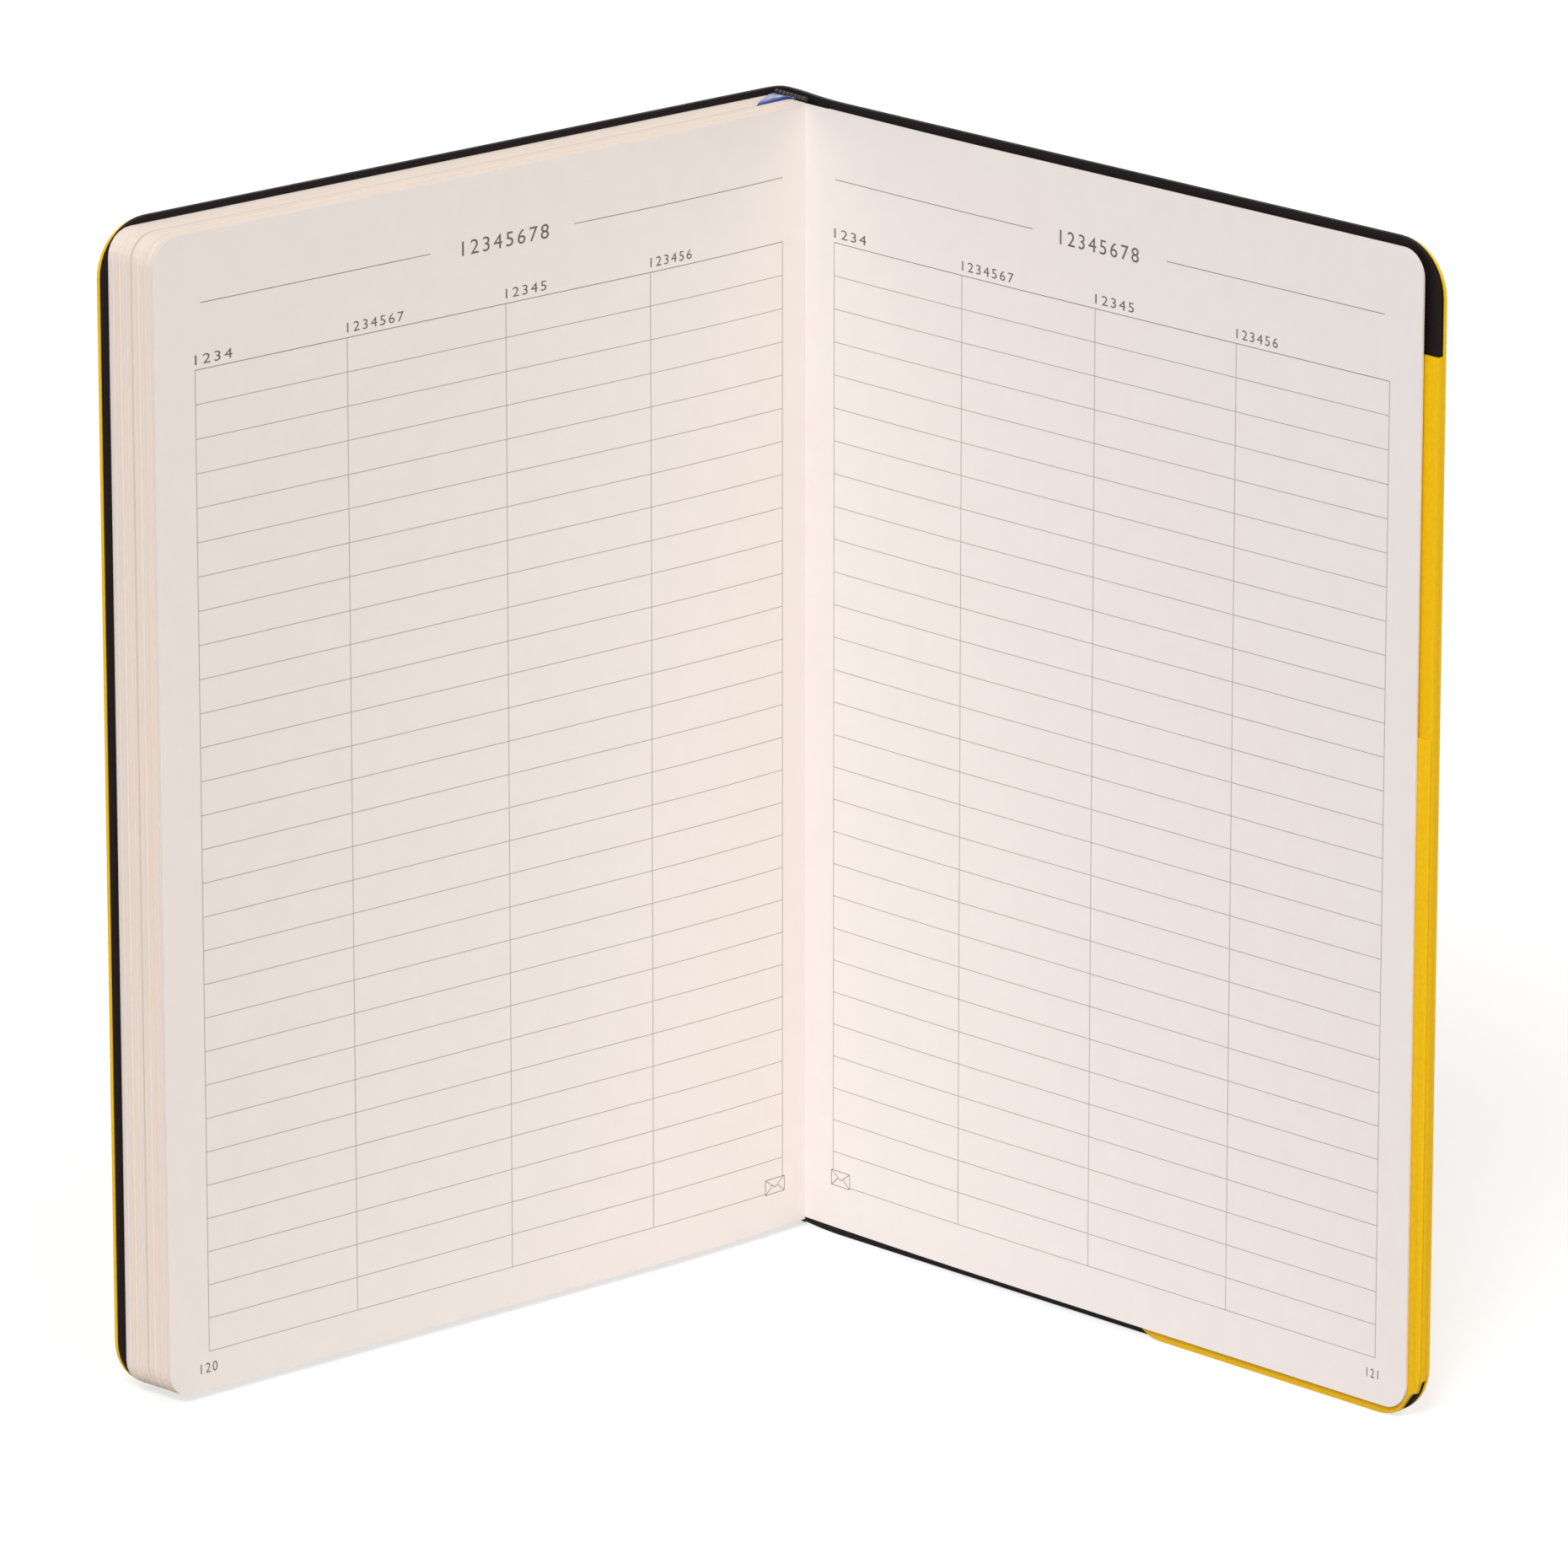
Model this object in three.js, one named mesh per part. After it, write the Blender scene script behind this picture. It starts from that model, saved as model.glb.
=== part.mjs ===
// A lined notebook, standing open on its foot: a sewn text block against its front cover on the left,
// the last leaf against the back cover on the right, and the spine behind the gutter.
// Millimetres. Z is up, the pages face -Y and the spine stands at the back.
import * as THREE from 'three';

const degrees = Math.PI / 180;

// Driving dimensions of the pages
const pageWidth = 167;
const pageHeight = 237;
const pageCorner = 5.5;
const leafThickness = 0.25;
const signatureCount = 12;
const signatureThickness = 0.86;
const layerGap = 0.1;
const blockSlant = 1.4;
const lastLeavesRise = 0.5;

// Driving dimensions of the cover
const headSquare = 1.4;
const tailSquare = 1.6;
const foreEdgeSquare = 3;
const coverCorner = 11;
const skinThickness = 0.65;
const coreThickness = 0.5;
const liningThickness = 0.25;

// How the notebook stands: each side's turn from the X axis, and how far its pages stand before the gutter
const leftTurn = 41;
const rightTurn = 44;
const leftSwell = 2.0;
const rightSwell = 1.2;
const leftSwellReach = 45;
const rightSwellReach = 60;

// Driving dimensions of the gutter and the spine
const leftLeafStart = 5.5;
const rightLeafStart = 6;
const foldGap = 0.35;
const coverJointGap = 0.3;
const frontHingeInset = 4;
const backHingeInset = 10;
const spineBulge = 3.9;
const spineCornerPull = 7.4;
const spineCrownPull = 6.0;
const spineRunPull = 3.2;
const spineCrownShare = 0.55;
const jointShare = 0.78;
const foldRound = 0.45;
const foldBluntness = 1.1;
const foldShoulder = 0.6;
const foldRunOut = 5;
const flyleafTip = 1.5;
const gauzeThickness = 0.25;
const threadThickness = 0.2;
const threadHeight = 0.7;
const stitchStations = 5;
const stitchPitch = 12;
const stitchTaper = 0.6;
const headbandRadius = 0.5;
const headbandTail = 12;
const bandFrontInset = 0.5;
const bandBackInset = 0.4;

// Driving dimensions of the ribbon marker
const ribbonThickness = 0.2;
const ribbonInset = 0.7;
const ribbonWidth = 8;
const ribbonTail = 36;
const ribbonTongue = 205;
const ribbonRise = 1.38;
const ribbonFall = 0.7;

// Driving dimensions of the pocket inside the back cover
const pocketWidth = 77.4;
const pocketTierThickness = 0.5;
const pocketHead = 217.8;
const pocketFrontHead = 141;
const pocketFoot = 0.3;
const pocketInset = 0.5;
const pocketStartCorner = 8;
const pocketEndCorner = 12.8;
const pocketClearance = 0.2;
const pocketSeat = 0.3;

// Sizes that follow
const coverHeight = tailSquare + pageHeight + headSquare;
const coverEnd = pageWidth + foreEdgeSquare;
const pageFoot = tailSquare;
const pageHead = tailSquare + pageHeight;
const coverThickness = liningThickness + coreThickness + skinThickness + 2 * layerGap;
const ribbonSlot = ribbonThickness + 2 * layerGap;
const ribbonPlace = signatureCount / 2;
const blockGaps = 2 * layerGap + (signatureCount - 2) * layerGap + ribbonSlot;
const blockThickness = 2 * leafThickness + signatureCount * signatureThickness + blockGaps;
const blockBack = blockThickness - leftSwell;
const leftCoverInside = blockBack + layerGap;
const leftCoverOutside = leftCoverInside + coverThickness;
const rearFlyleafFront = leafThickness + layerGap;
const pocketFront = rearFlyleafFront + leafThickness + pocketClearance;
const pocketBack = pocketFront + pocketTierThickness + layerGap;
const rightCoverInside = pocketBack + pocketTierThickness + pocketSeat - rightSwell;
const rightCoverOutside = rightCoverInside + coverThickness;

// Finishes
const paint = (color, roughness) => new THREE.MeshStandardMaterial({ color, roughness, metalness: 0 });
const paper = paint('#e9e1d9', 0.85);
const endpaper = paint('#e4dbd0', 0.85);
const coverSkin = paint('#e4b706', 0.5);
const coverLining = paint('#15110f', 0.6);
const coverCore = paint('#0f0d0c', 0.8);
const clothBlack = paint('#2b2724', 0.9);
const gauzeWhite = paint('#d9d2c4', 0.95);
const threadWhite = paint('#efe9dc', 0.8);
const satinBlue = paint('#2f4ea3', 0.4);

const notebook = new THREE.Group();

// A side's own frame: X runs from the gutter to the fore-edge. On the right Y points behind the pages,
// and on the left, which is the mirror image, it points before them.
const leftSide = new THREE.Group();
leftSide.rotation.z = Math.PI + leftTurn * degrees;
leftSide.userData.behind = -1;
const rightSide = new THREE.Group();
rightSide.rotation.z = -rightTurn * degrees;
rightSide.userData.behind = 1;
notebook.add(leftSide, rightSide);

function addPiece(parent, name, geometry, material) {
  const piece = new THREE.Mesh(geometry, material);
  piece.name = name;
  parent.add(piece);
}

// Plan points of the whole notebook, from a side's distance along its pages and distance behind the gutter
function leftPoint(along, behind) {
  return new THREE.Vector2(along, -behind).rotateAround(new THREE.Vector2(), leftSide.rotation.z);
}

function rightPoint(along, behind) {
  return new THREE.Vector2(along, behind).rotateAround(new THREE.Vector2(), rightSide.rotation.z);
}

// Distance behind the gutter of the page surface on each side, which dips back to the fold
function leftPage(along) {
  return -leftSwell + leftSwell * Math.max(0, 1 - along / leftSwellReach) ** 2;
}

function rightPage(along) {
  return -rightSwell + rightSwell * Math.max(0, 1 - along / rightSwellReach) ** 2;
}

const leftBends = [12, 20, 30, leftSwellReach];
const rightBends = [12, 20, 32, 45, rightSwellReach];

// How far a rounded corner lifts the edge of a plate, at a distance from the corner's end
function cornerLift(distance, radius) {
  if (distance >= radius) return 0;
  return radius - Math.sqrt(Math.max(0, radius ** 2 - (radius - distance) ** 2));
}

// Places along a plate where the arc of a rounded corner has its points
function arcDistances(radius, steps = 6) {
  const distances = [];
  for (let step = 0; step < steps; step += 1) {
    distances.push(radius * (1 - Math.cos((step / steps) * Math.PI / 2)));
  }
  return distances;
}

// A plate is a leaf, a signature or a layer of the cover: a sheet between two surfaces that may bend
// along it, with its own radius at each corner. Radii are start foot, start head, end foot and end head.
function plate(side, { start, end, foot, head, front, back, radii = [0, 0, 0, 0], bends = [] }) {
  const places = new Set([start, end]);
  for (const radius of radii.slice(0, 2)) {
    for (const distance of arcDistances(radius)) places.add(start + distance);
    if (radius > 0) places.add(start + radius);
  }
  for (const radius of radii.slice(2)) {
    for (const distance of arcDistances(radius)) places.add(end - distance);
    if (radius > 0) places.add(end - radius);
  }
  for (const bend of bends) {
    if (bend > start && bend < end) places.add(bend);
  }
  const sorted = [...places].sort((a, b) => a - b);
  const stations = sorted.filter((place, index) => index === 0 || place - sorted[index - 1] > 1e-3);

  const behind = side.userData.behind;
  const positions = [];
  for (const along of stations) {
    const low = foot + Math.max(cornerLift(along - start, radii[0]), cornerLift(end - along, radii[2]));
    const high = head - Math.max(cornerLift(along - start, radii[1]), cornerLift(end - along, radii[3]));
    const nearFace = behind * front(along);
    const farFace = behind * back(along);
    positions.push(along, nearFace, low, along, nearFace, high, along, farFace, high, along, farFace, low);
  }

  const triangles = [];
  const quad = (a, b, c, d) => {
    if (behind < 0) triangles.push(a, b, c, a, c, d);
    else triangles.push(a, c, b, a, d, c);
  };
  const last = 4 * (stations.length - 1);
  quad(3, 2, 1, 0);
  quad(last, last + 1, last + 2, last + 3);
  for (let ring = 0; ring < last; ring += 4) {
    for (let corner = 0; corner < 4; corner += 1) {
      const next = (corner + 1) % 4;
      quad(ring + corner, ring + next, ring + 4 + next, ring + 4 + corner);
    }
  }
  const geometry = new THREE.BufferGeometry();
  geometry.setAttribute('position', new THREE.Float32BufferAttribute(positions, 3));
  geometry.setIndex(triangles);
  geometry.computeVertexNormals();
  return geometry;
}

// Text block: signatures of folded sheets, from number 1 against the front cover to the last at the front
const leafRadii = [0, 0, pageCorner, pageCorner];

function pressedThickness(along) {
  const paperDepth = blockBack - leftPage(along) - blockGaps - 2 * leafThickness;
  return paperDepth / signatureCount;
}

function signatureFront(layer) {
  const slot = layer >= ribbonPlace ? ribbonSlot - layerGap : 0;
  return (along) => {
    const page = Math.max(along, 0);
    const stack = layer * (pressedThickness(page) + layerGap);
    return leftPage(page) + leafThickness + layerGap + slot + stack + foldRounding(along);
  };
}

function signatureBack(layer) {
  const front = signatureFront(layer);
  return (along) => front(along) + pressedThickness(Math.max(along, 0)) - 2 * foldRounding(along);
}

// The folded edges of a signature are rounded, so it thins behind the gutter
function foldRounding(along) {
  if (along >= 0) return 0;
  return signatureThickness * (0.5 - 0.5 * Math.sqrt(1 - (along / (foldRound * foldBluntness)) ** 2));
}

// The leaves slide over each other when the block lies open, so its fore-edge slants outwards to the back
for (let number = 1; number <= signatureCount; number += 1) {
  const layer = signatureCount - number;
  const slide = (blockSlant * (layer + 1)) / (signatureCount + 1);
  const signature = plate(leftSide, {
    start: -foldRound, end: pageWidth + slide, foot: pageFoot, head: pageHead,
    front: signatureFront(layer), back: signatureBack(layer),
    radii: leafRadii, bends: [-foldRound * foldShoulder, 0, foldRunOut, ...leftBends],
  });
  addPiece(leftSide, `signature_${String(number).padStart(2, '0')}`, signature, paper);
}

// The endleaf between the text block and the front cover
addPiece(leftSide, 'front_flyleaf', plate(leftSide, {
  start: flyleafTip, end: pageWidth + blockSlant, foot: pageFoot, head: pageHead,
  front: () => blockBack - leafThickness, back: () => blockBack, radii: leafRadii,
}), endpaper);

// The leaf that turns over from the left, in front of the signatures
addPiece(leftSide, 'turning_leaf', plate(leftSide, {
  start: leftLeafStart, end: pageWidth, foot: pageFoot, head: pageHead,
  front: leftPage, back: (along) => leftPage(along) + leafThickness, radii: leafRadii, bends: leftBends,
}), paper);

// The last leaf and the endleaf behind it, on the right, which hang a little higher than the block
addPiece(rightSide, 'last_leaf', plate(rightSide, {
  start: rightLeafStart, end: pageWidth, foot: pageFoot + lastLeavesRise, head: pageHead,
  front: rightPage, back: (along) => rightPage(along) + leafThickness, radii: leafRadii, bends: rightBends,
}), paper);
addPiece(rightSide, 'rear_flyleaf', plate(rightSide, {
  start: rightLeafStart + foldGap, end: pageWidth, foot: pageFoot + lastLeavesRise, head: pageHead,
  front: (along) => rightPage(along) + rearFlyleafFront,
  back: (along) => rightPage(along) + rearFlyleafFront + leafThickness,
  radii: leafRadii, bends: rightBends,
}), endpaper);

// A wall stands on a plan outline and has the same outline at every height
function wall(outline, foot, head) {
  const shape = new THREE.Shape(outline);
  return new THREE.ExtrudeGeometry(shape, { depth: head - foot, bevelEnabled: false }).translate(0, 0, foot);
}

// The fold of the last sheet, where the left and the right page meet at the gutter
const leftFoldEnd = leftLeafStart - foldGap;
const rightFoldEnd = rightLeafStart - foldGap;
const foldOutline = [
  leftPoint(leftFoldEnd, leftPage(leftFoldEnd)),
  leftPoint(leftFoldEnd / 2, leftPage(leftFoldEnd / 2)),
  new THREE.Vector2(),
  rightPoint(rightFoldEnd / 2, rightPage(rightFoldEnd / 2)),
  rightPoint(rightFoldEnd, rightPage(rightFoldEnd)),
  rightPoint(rightFoldEnd, rightPage(rightFoldEnd) + leafThickness),
  rightPoint(rightFoldEnd / 2, rightPage(rightFoldEnd / 2) + leafThickness),
  new THREE.Vector2(0, leafThickness),
  leftPoint(leftFoldEnd / 2, leftPage(leftFoldEnd / 2) + leafThickness),
  leftPoint(leftFoldEnd, leftPage(leftFoldEnd) + leafThickness),
];
addPiece(notebook, 'gutter_fold', wall(foldOutline, pageFoot, pageHead), paper);

// The cover is one soft laminate: lining inside, core, and skin outside, flush at the cut edge
const coverLayers = [
  { name: 'lining', inset: 0, thickness: liningThickness, material: coverLining },
  { name: 'core', inset: liningThickness + layerGap, thickness: coreThickness, material: coverCore },
  { name: 'skin', inset: coverThickness - skinThickness, thickness: skinThickness, material: coverSkin },
];
const coverRadii = [0, 0, coverCorner, coverCorner];
for (const { name, inset, thickness, material } of coverLayers) {
  const leftLayer = leftCoverInside + inset;
  const rightLayer = rightCoverInside + inset;
  addPiece(leftSide, `front_cover_${name}`, plate(leftSide, {
    start: frontHingeInset + coverJointGap, end: coverEnd, foot: 0, head: coverHeight,
    front: () => leftLayer, back: () => leftLayer + thickness, radii: coverRadii,
  }), material);
  addPiece(rightSide, `back_cover_${name}`, plate(rightSide, {
    start: backHingeInset + coverJointGap, end: coverEnd, foot: 0, head: coverHeight,
    front: () => rightLayer, back: () => rightLayer + thickness, radii: coverRadii,
  }), material);
}

// The spine's outer face in plan: round the back corner of the block, past the gutter, to the back cover
const spineMiddle = blockBack * spineCrownShare;
const spineStart = leftPoint(frontHingeInset, leftCoverOutside);
const spineCrown = leftPoint(-spineBulge, spineMiddle);
const spineEnd = rightPoint(backHingeInset, rightCoverOutside);
const roundCorner = new THREE.CubicBezierCurve(
  spineStart,
  leftPoint(frontHingeInset - spineCornerPull, leftCoverOutside),
  leftPoint(-spineBulge, spineMiddle + spineCrownPull),
  spineCrown,
);
const spineRun = new THREE.CubicBezierCurve(
  spineCrown,
  leftPoint(-spineBulge, spineMiddle - spineRunPull),
  rightPoint(backHingeInset - spineCornerPull, rightCoverOutside),
  spineEnd,
);

function stripOutline(curve, from, to, outset, thickness, steps) {
  const outer = [];
  const inner = [];
  for (let step = 0; step <= steps; step += 1) {
    const place = from + (to - from) * (step / steps);
    const point = curve.getPoint(place);
    const heading = curve.getTangent(place);
    const inward = new THREE.Vector2(heading.y, -heading.x);
    outer.push(point.clone().addScaledVector(inward, outset));
    inner.unshift(point.clone().addScaledVector(inward, outset + thickness));
  }
  return { outer, inner };
}

// The spine ends, and the back joint starts, at the joint's share of the run from the crown to the back cover
const cornerSteps = 10;
const runSteps = 8;
const jointSteps = 3;

function spineStrip(outset, thickness) {
  const corner = stripOutline(roundCorner, 0, 1, outset, thickness, cornerSteps);
  const run = stripOutline(spineRun, jointShare / runSteps, jointShare, outset, thickness, runSteps - 1);
  return wall([...corner.outer, ...run.outer, ...run.inner, ...corner.inner], 0, coverHeight);
}

const jointStart = jointShare + coverJointGap / spineRun.getLength();

function jointStrip(outset, thickness) {
  const run = stripOutline(spineRun, jointStart, 1, outset, thickness, jointSteps);
  return wall([...run.outer, ...run.inner], 0, coverHeight);
}

const coreOutset = skinThickness + layerGap;
const liningOutset = coreOutset + coreThickness + layerGap;
addPiece(notebook, 'spine_skin', spineStrip(0, skinThickness), coverSkin);
addPiece(notebook, 'spine_core', spineStrip(coreOutset, coreThickness), coverCore);
addPiece(notebook, 'spine_lining', spineStrip(liningOutset, liningThickness), coverLining);
addPiece(notebook, 'back_joint_skin', jointStrip(0, skinThickness), coverSkin);
addPiece(notebook, 'back_joint_lining', jointStrip(coreOutset, coverThickness - coreOutset), coverLining);

// Back of the block, under the spine: thread over the folds, then the gauze, and a headband at each end
const threadFront = foldRound + layerGap;
const gauzeFront = threadFront + threadThickness + layerGap;
const blockSpineFront = bandFrontInset;
const blockSpineBack = blockBack - bandBackInset;

function spineBox(front, back, inset, thickness, foot, head) {
  const box = new THREE.BoxGeometry(thickness, back - front, head - foot);
  return box.translate(-inset - thickness / 2, -(front + back) / 2, (foot + head) / 2);
}

// The thread is one length: a stitch across the folds at each hole, joined by a run up the back of the block
function sewingThread() {
  const backbone = ribbonPlaceBehind - ribbonWidth / 2 - 2 * threadHeight;
  const heights = [];
  for (let station = 0; station < stitchStations; station += 1) {
    const height = pageFoot + pageHeight * ((station + 0.5) / stitchStations);
    heights.push(height - stitchPitch / 2, height + stitchPitch / 2);
  }
  const half = threadHeight / 2;
  const tip = half * stitchTaper;
  const right = [];
  const left = [];
  for (const height of heights) {
    right.push([backbone + half, height - half], [blockSpineBack, height - tip]);
    right.push([blockSpineBack, height + tip], [backbone + half, height + half]);
    left.unshift([blockSpineFront, height - tip], [backbone - half, height - half]);
    left.unshift([backbone - half, height + half], [blockSpineFront, height + tip]);
  }
  const outline = [...right, ...left].map(([behind, height]) => new THREE.Vector2(-behind, height));
  const shape = new THREE.Shape(outline);
  const geometry = new THREE.ExtrudeGeometry(shape, { depth: threadThickness, bevelEnabled: false });
  // The outline stands in the plane of the back of the block, and its depth runs towards the folds
  const standing = new THREE.Matrix4().makeBasis(
    new THREE.Vector3(0, 1, 0), new THREE.Vector3(0, 0, 1), new THREE.Vector3(1, 0, 0),
  );
  return geometry.applyMatrix4(standing).translate(-threadFront - threadThickness, 0, 0);
}

const ribbonPlaceBehind = (blockSpineFront + blockSpineBack) / 2;
addPiece(leftSide, 'sewing_thread', sewingThread(), threadWhite);

const gauzeFoot = pageFoot + headbandTail + layerGap;
const gauzeHead = pageHead - headbandTail - layerGap;
addPiece(leftSide, 'spine_gauze', spineBox(
  blockSpineFront, blockSpineBack, gauzeFront, gauzeThickness, gauzeFoot, gauzeHead,
), gauzeWhite);

// A headband is a rolled bead on the head of the folds, with a cloth tail down the back of the block
function headband(towardsFoot) {
  const bead = headbandRadius;
  const profile = new THREE.Shape();
  const tailIn = gauzeFront;
  const tailOut = gauzeFront + gauzeThickness;
  profile.moveTo(tailIn, -headbandTail);
  profile.lineTo(tailOut, -headbandTail);
  profile.lineTo(tailOut, layerGap + bead);
  profile.absarc(tailOut - bead, layerGap + bead, bead, 0, Math.PI, false);
  profile.lineTo(tailOut - 2 * bead, layerGap);
  profile.lineTo(tailIn, layerGap);
  const depth = blockSpineBack - blockSpineFront;
  const geometry = new THREE.ExtrudeGeometry(profile, { depth, bevelEnabled: false, curveSegments: 10 });
  // The profile's X points out of the back of the block, and its depth runs from the cover to the gutter
  geometry.rotateX(Math.PI / 2).rotateZ(Math.PI);
  geometry.translate(0, -blockSpineBack, 0);
  if (towardsFoot) {
    geometry.rotateX(Math.PI).translate(0, -(blockSpineFront + blockSpineBack), 0);
  }
  return geometry.translate(0, 0, towardsFoot ? pageFoot : pageHead);
}

addPiece(leftSide, 'headband_top', headband(false), clothBlack);
addPiece(leftSide, 'headband_bottom', headband(true), clothBlack);

// The ribbon marker: glued to the back of the block, over its head, and down between two signatures.
// Each row of this list is the ribbon's left and right edge, as along, behind and height.
const slotFront = (along) => signatureBack(ribbonPlace - 1)(along);
const tongueBehind = (along) => slotFront(along) + layerGap + ribbonThickness / 2;
const ribbonTailInset = gauzeFront + gauzeThickness + layerGap + ribbonThickness / 2;

function ribbonEdges() {
  const start = ribbonInset;
  const end = ribbonInset + ribbonWidth;
  const half = ribbonWidth / 2;
  const edges = [];
  const glued = (height) => edges.push([
    new THREE.Vector3(-ribbonTailInset, -(ribbonPlaceBehind + half), height),
    new THREE.Vector3(-ribbonTailInset, -(ribbonPlaceBehind - half), height),
  ]);
  const tucked = (height) => edges.push([
    new THREE.Vector3(end, -tongueBehind(end), height),
    new THREE.Vector3(start, -tongueBehind(start), height),
  ]);
  const overHead = pageHead + 2 * headbandRadius + 2 * layerGap;
  glued(pageHead - ribbonTail);
  glued(pageHead);
  const steps = 8;
  for (let step = 0; step <= steps; step += 1) {
    const share = step / steps;
    const ease = share * share * (3 - 2 * share);
    const arch = (ribbonRise - 2 * headbandRadius) * Math.sin(Math.PI * share);
    const height = overHead + arch - ribbonFall * share;
    const edgePoint = (gluedBehind, along) => new THREE.Vector3(
      THREE.MathUtils.lerp(-ribbonTailInset, along, ease),
      THREE.MathUtils.lerp(-gluedBehind, -tongueBehind(along), ease),
      height,
    );
    edges.push([edgePoint(ribbonPlaceBehind + half, end), edgePoint(ribbonPlaceBehind - half, start)]);
  }
  tucked(pageHead);
  tucked(pageHead - ribbonTongue);
  return edges;
}

// A band follows its two edges, and is thickened on both sides of them
function band(edges, thickness) {
  const positions = [];
  edges.forEach(([left, right], index) => {
    const before = edges[Math.max(0, index - 1)];
    const after = edges[Math.min(edges.length - 1, index + 1)];
    const heading = after[0].clone().add(after[1]).sub(before[0]).sub(before[1]);
    const normal = right.clone().sub(left).cross(heading).normalize().multiplyScalar(thickness / 2);
    for (const [point, sign] of [[left, 1], [right, 1], [right, -1], [left, -1]]) {
      positions.push(...point.clone().addScaledVector(normal, sign).toArray());
    }
  });
  const triangles = [];
  const quad = (a, b, c, d) => triangles.push(a, b, c, a, c, d);
  const last = 4 * (edges.length - 1);
  quad(3, 2, 1, 0);
  quad(last, last + 1, last + 2, last + 3);
  for (let ring = 0; ring < last; ring += 4) {
    for (let corner = 0; corner < 4; corner += 1) {
      const next = (corner + 1) % 4;
      quad(ring + corner, ring + next, ring + 4 + next, ring + 4 + corner);
    }
  }
  const geometry = new THREE.BufferGeometry();
  geometry.setAttribute('position', new THREE.Float32BufferAttribute(positions, 3));
  geometry.setIndex(triangles);
  geometry.computeVertexNormals();
  return geometry;
}

addPiece(leftSide, 'ribbon_marker', band(ribbonEdges(), ribbonThickness), satinBlue);

// Two-tier pocket on the inside of the back cover, along the fore-edge: the low front tier wraps to the
// cover's edge, and the tall rear tier stops short of it
const rearTierEnd = coverEnd - pocketInset;
const pocketStart = rearTierEnd - pocketWidth;
addPiece(rightSide, 'pocket_rear_tier', plate(rightSide, {
  start: pocketStart, end: rearTierEnd, foot: pocketFoot, head: pocketHead,
  front: () => pocketBack - rightSwell, back: () => pocketBack + pocketTierThickness - rightSwell,
  radii: [pocketStartCorner, pocketStartCorner, pocketEndCorner, 0],
}), coverSkin);
addPiece(rightSide, 'pocket_front_tier', plate(rightSide, {
  start: pocketStart, end: coverEnd - layerGap, foot: pocketFoot, head: pocketFrontHead,
  front: () => pocketFront - rightSwell, back: () => pocketFront + pocketTierThickness - rightSwell,
  radii: [pocketStartCorner, 0, pocketEndCorner, 0],
}), coverSkin);

// The origin is on the surface that the notebook stands on, under the middle of its box
const box = new THREE.Box3().setFromObject(notebook);
const middle = box.getCenter(new THREE.Vector3());
notebook.position.set(-middle.x, -middle.y, 0);

export default notebook;
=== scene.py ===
# %% [markdown]
# # A lined notebook, standing open
# The notebook stands on its foot, open near its end. A sewn block of paper leans on the front cover at the
# left, the last leaf lies on the back cover at the right, and the spine closes the back of the V.
# Every object below is in metres, in the frame of the solid model, so each piece is made where it belongs.

# %% Load the frame
import math

import bmesh
import bpy
from mathutils import Matrix, Vector


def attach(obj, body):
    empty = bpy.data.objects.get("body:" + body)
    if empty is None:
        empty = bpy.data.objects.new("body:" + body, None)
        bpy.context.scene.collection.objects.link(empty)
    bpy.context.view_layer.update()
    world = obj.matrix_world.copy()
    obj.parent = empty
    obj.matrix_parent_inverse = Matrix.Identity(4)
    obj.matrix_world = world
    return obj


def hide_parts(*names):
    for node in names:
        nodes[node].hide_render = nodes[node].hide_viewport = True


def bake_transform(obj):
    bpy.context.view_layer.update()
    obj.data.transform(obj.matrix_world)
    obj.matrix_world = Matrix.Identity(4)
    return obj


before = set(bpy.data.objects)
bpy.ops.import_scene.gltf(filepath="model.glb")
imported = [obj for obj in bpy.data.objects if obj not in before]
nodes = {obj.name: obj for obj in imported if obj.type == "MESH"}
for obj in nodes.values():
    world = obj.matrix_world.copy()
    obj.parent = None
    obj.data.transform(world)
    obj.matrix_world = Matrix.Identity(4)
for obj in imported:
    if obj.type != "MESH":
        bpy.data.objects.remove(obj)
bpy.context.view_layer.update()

for leftover in ("Cube", "Light", "Camera"):
    if leftover in bpy.data.objects:
        bpy.data.objects.remove(bpy.data.objects[leftover])

# %% [markdown]
# A book is easiest to build in two flat frames, one for each side of the gutter. In each of them X runs
# along the page from the gutter to the fore-edge and Z runs up the page. The left page faces +Y in its
# frame and the right page faces -Y. The pages dip back to the fold near the gutter, by one rule for both.

# %% The two page frames
MM = 0.001
page_width = 167.0
page_foot = 1.6
page_head = 238.6
page_corner = 5.5
leaf_thickness = 0.25
layer_gap = 0.1
gutter = Vector((6.07909312, 54.04408529, 0.0)) * MM

left_turn, right_turn = 41.0, 44.0
sides = {
    "left": {"turn": math.radians(180 + left_turn), "facing": 1.0, "swell": 2.0, "reach": 45.0},
    "right": {"turn": math.radians(-right_turn), "facing": -1.0, "swell": 1.2, "reach": 60.0},
}
for side in sides.values():
    side["frame"] = Matrix.Translation(gutter) @ Matrix.Rotation(side["turn"], 4, "Z")


def dip(side, along):
    """How far the page surface lies behind the gutter, in millimetres."""
    near = max(0.0, 1.0 - along / side["reach"])
    return side["swell"] * near ** 2 - side["swell"]


def side_point(side, along, behind, height):
    return side["frame"] @ Vector((along * MM, -side["facing"] * behind * MM, height * MM))


def page_point(side, along, height, lift=0.0):
    return side_point(side, along, dip(side, along) - lift, height)


print("fore-edge of the left page:", page_point(sides["left"], page_width, page_foot))

# %% [markdown]
# Colours are easiest to compare as the sRGB hex values that a paint program shows, but shaders work in
# linear light. One function turns the first into the second. Another adds a node with its settings and its
# links, and every material and node tree here is built with it. A third gives a shader what every material
# here has: a colour between two tones, and most often a relief.

# %% Helpers for colours and nodes


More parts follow.
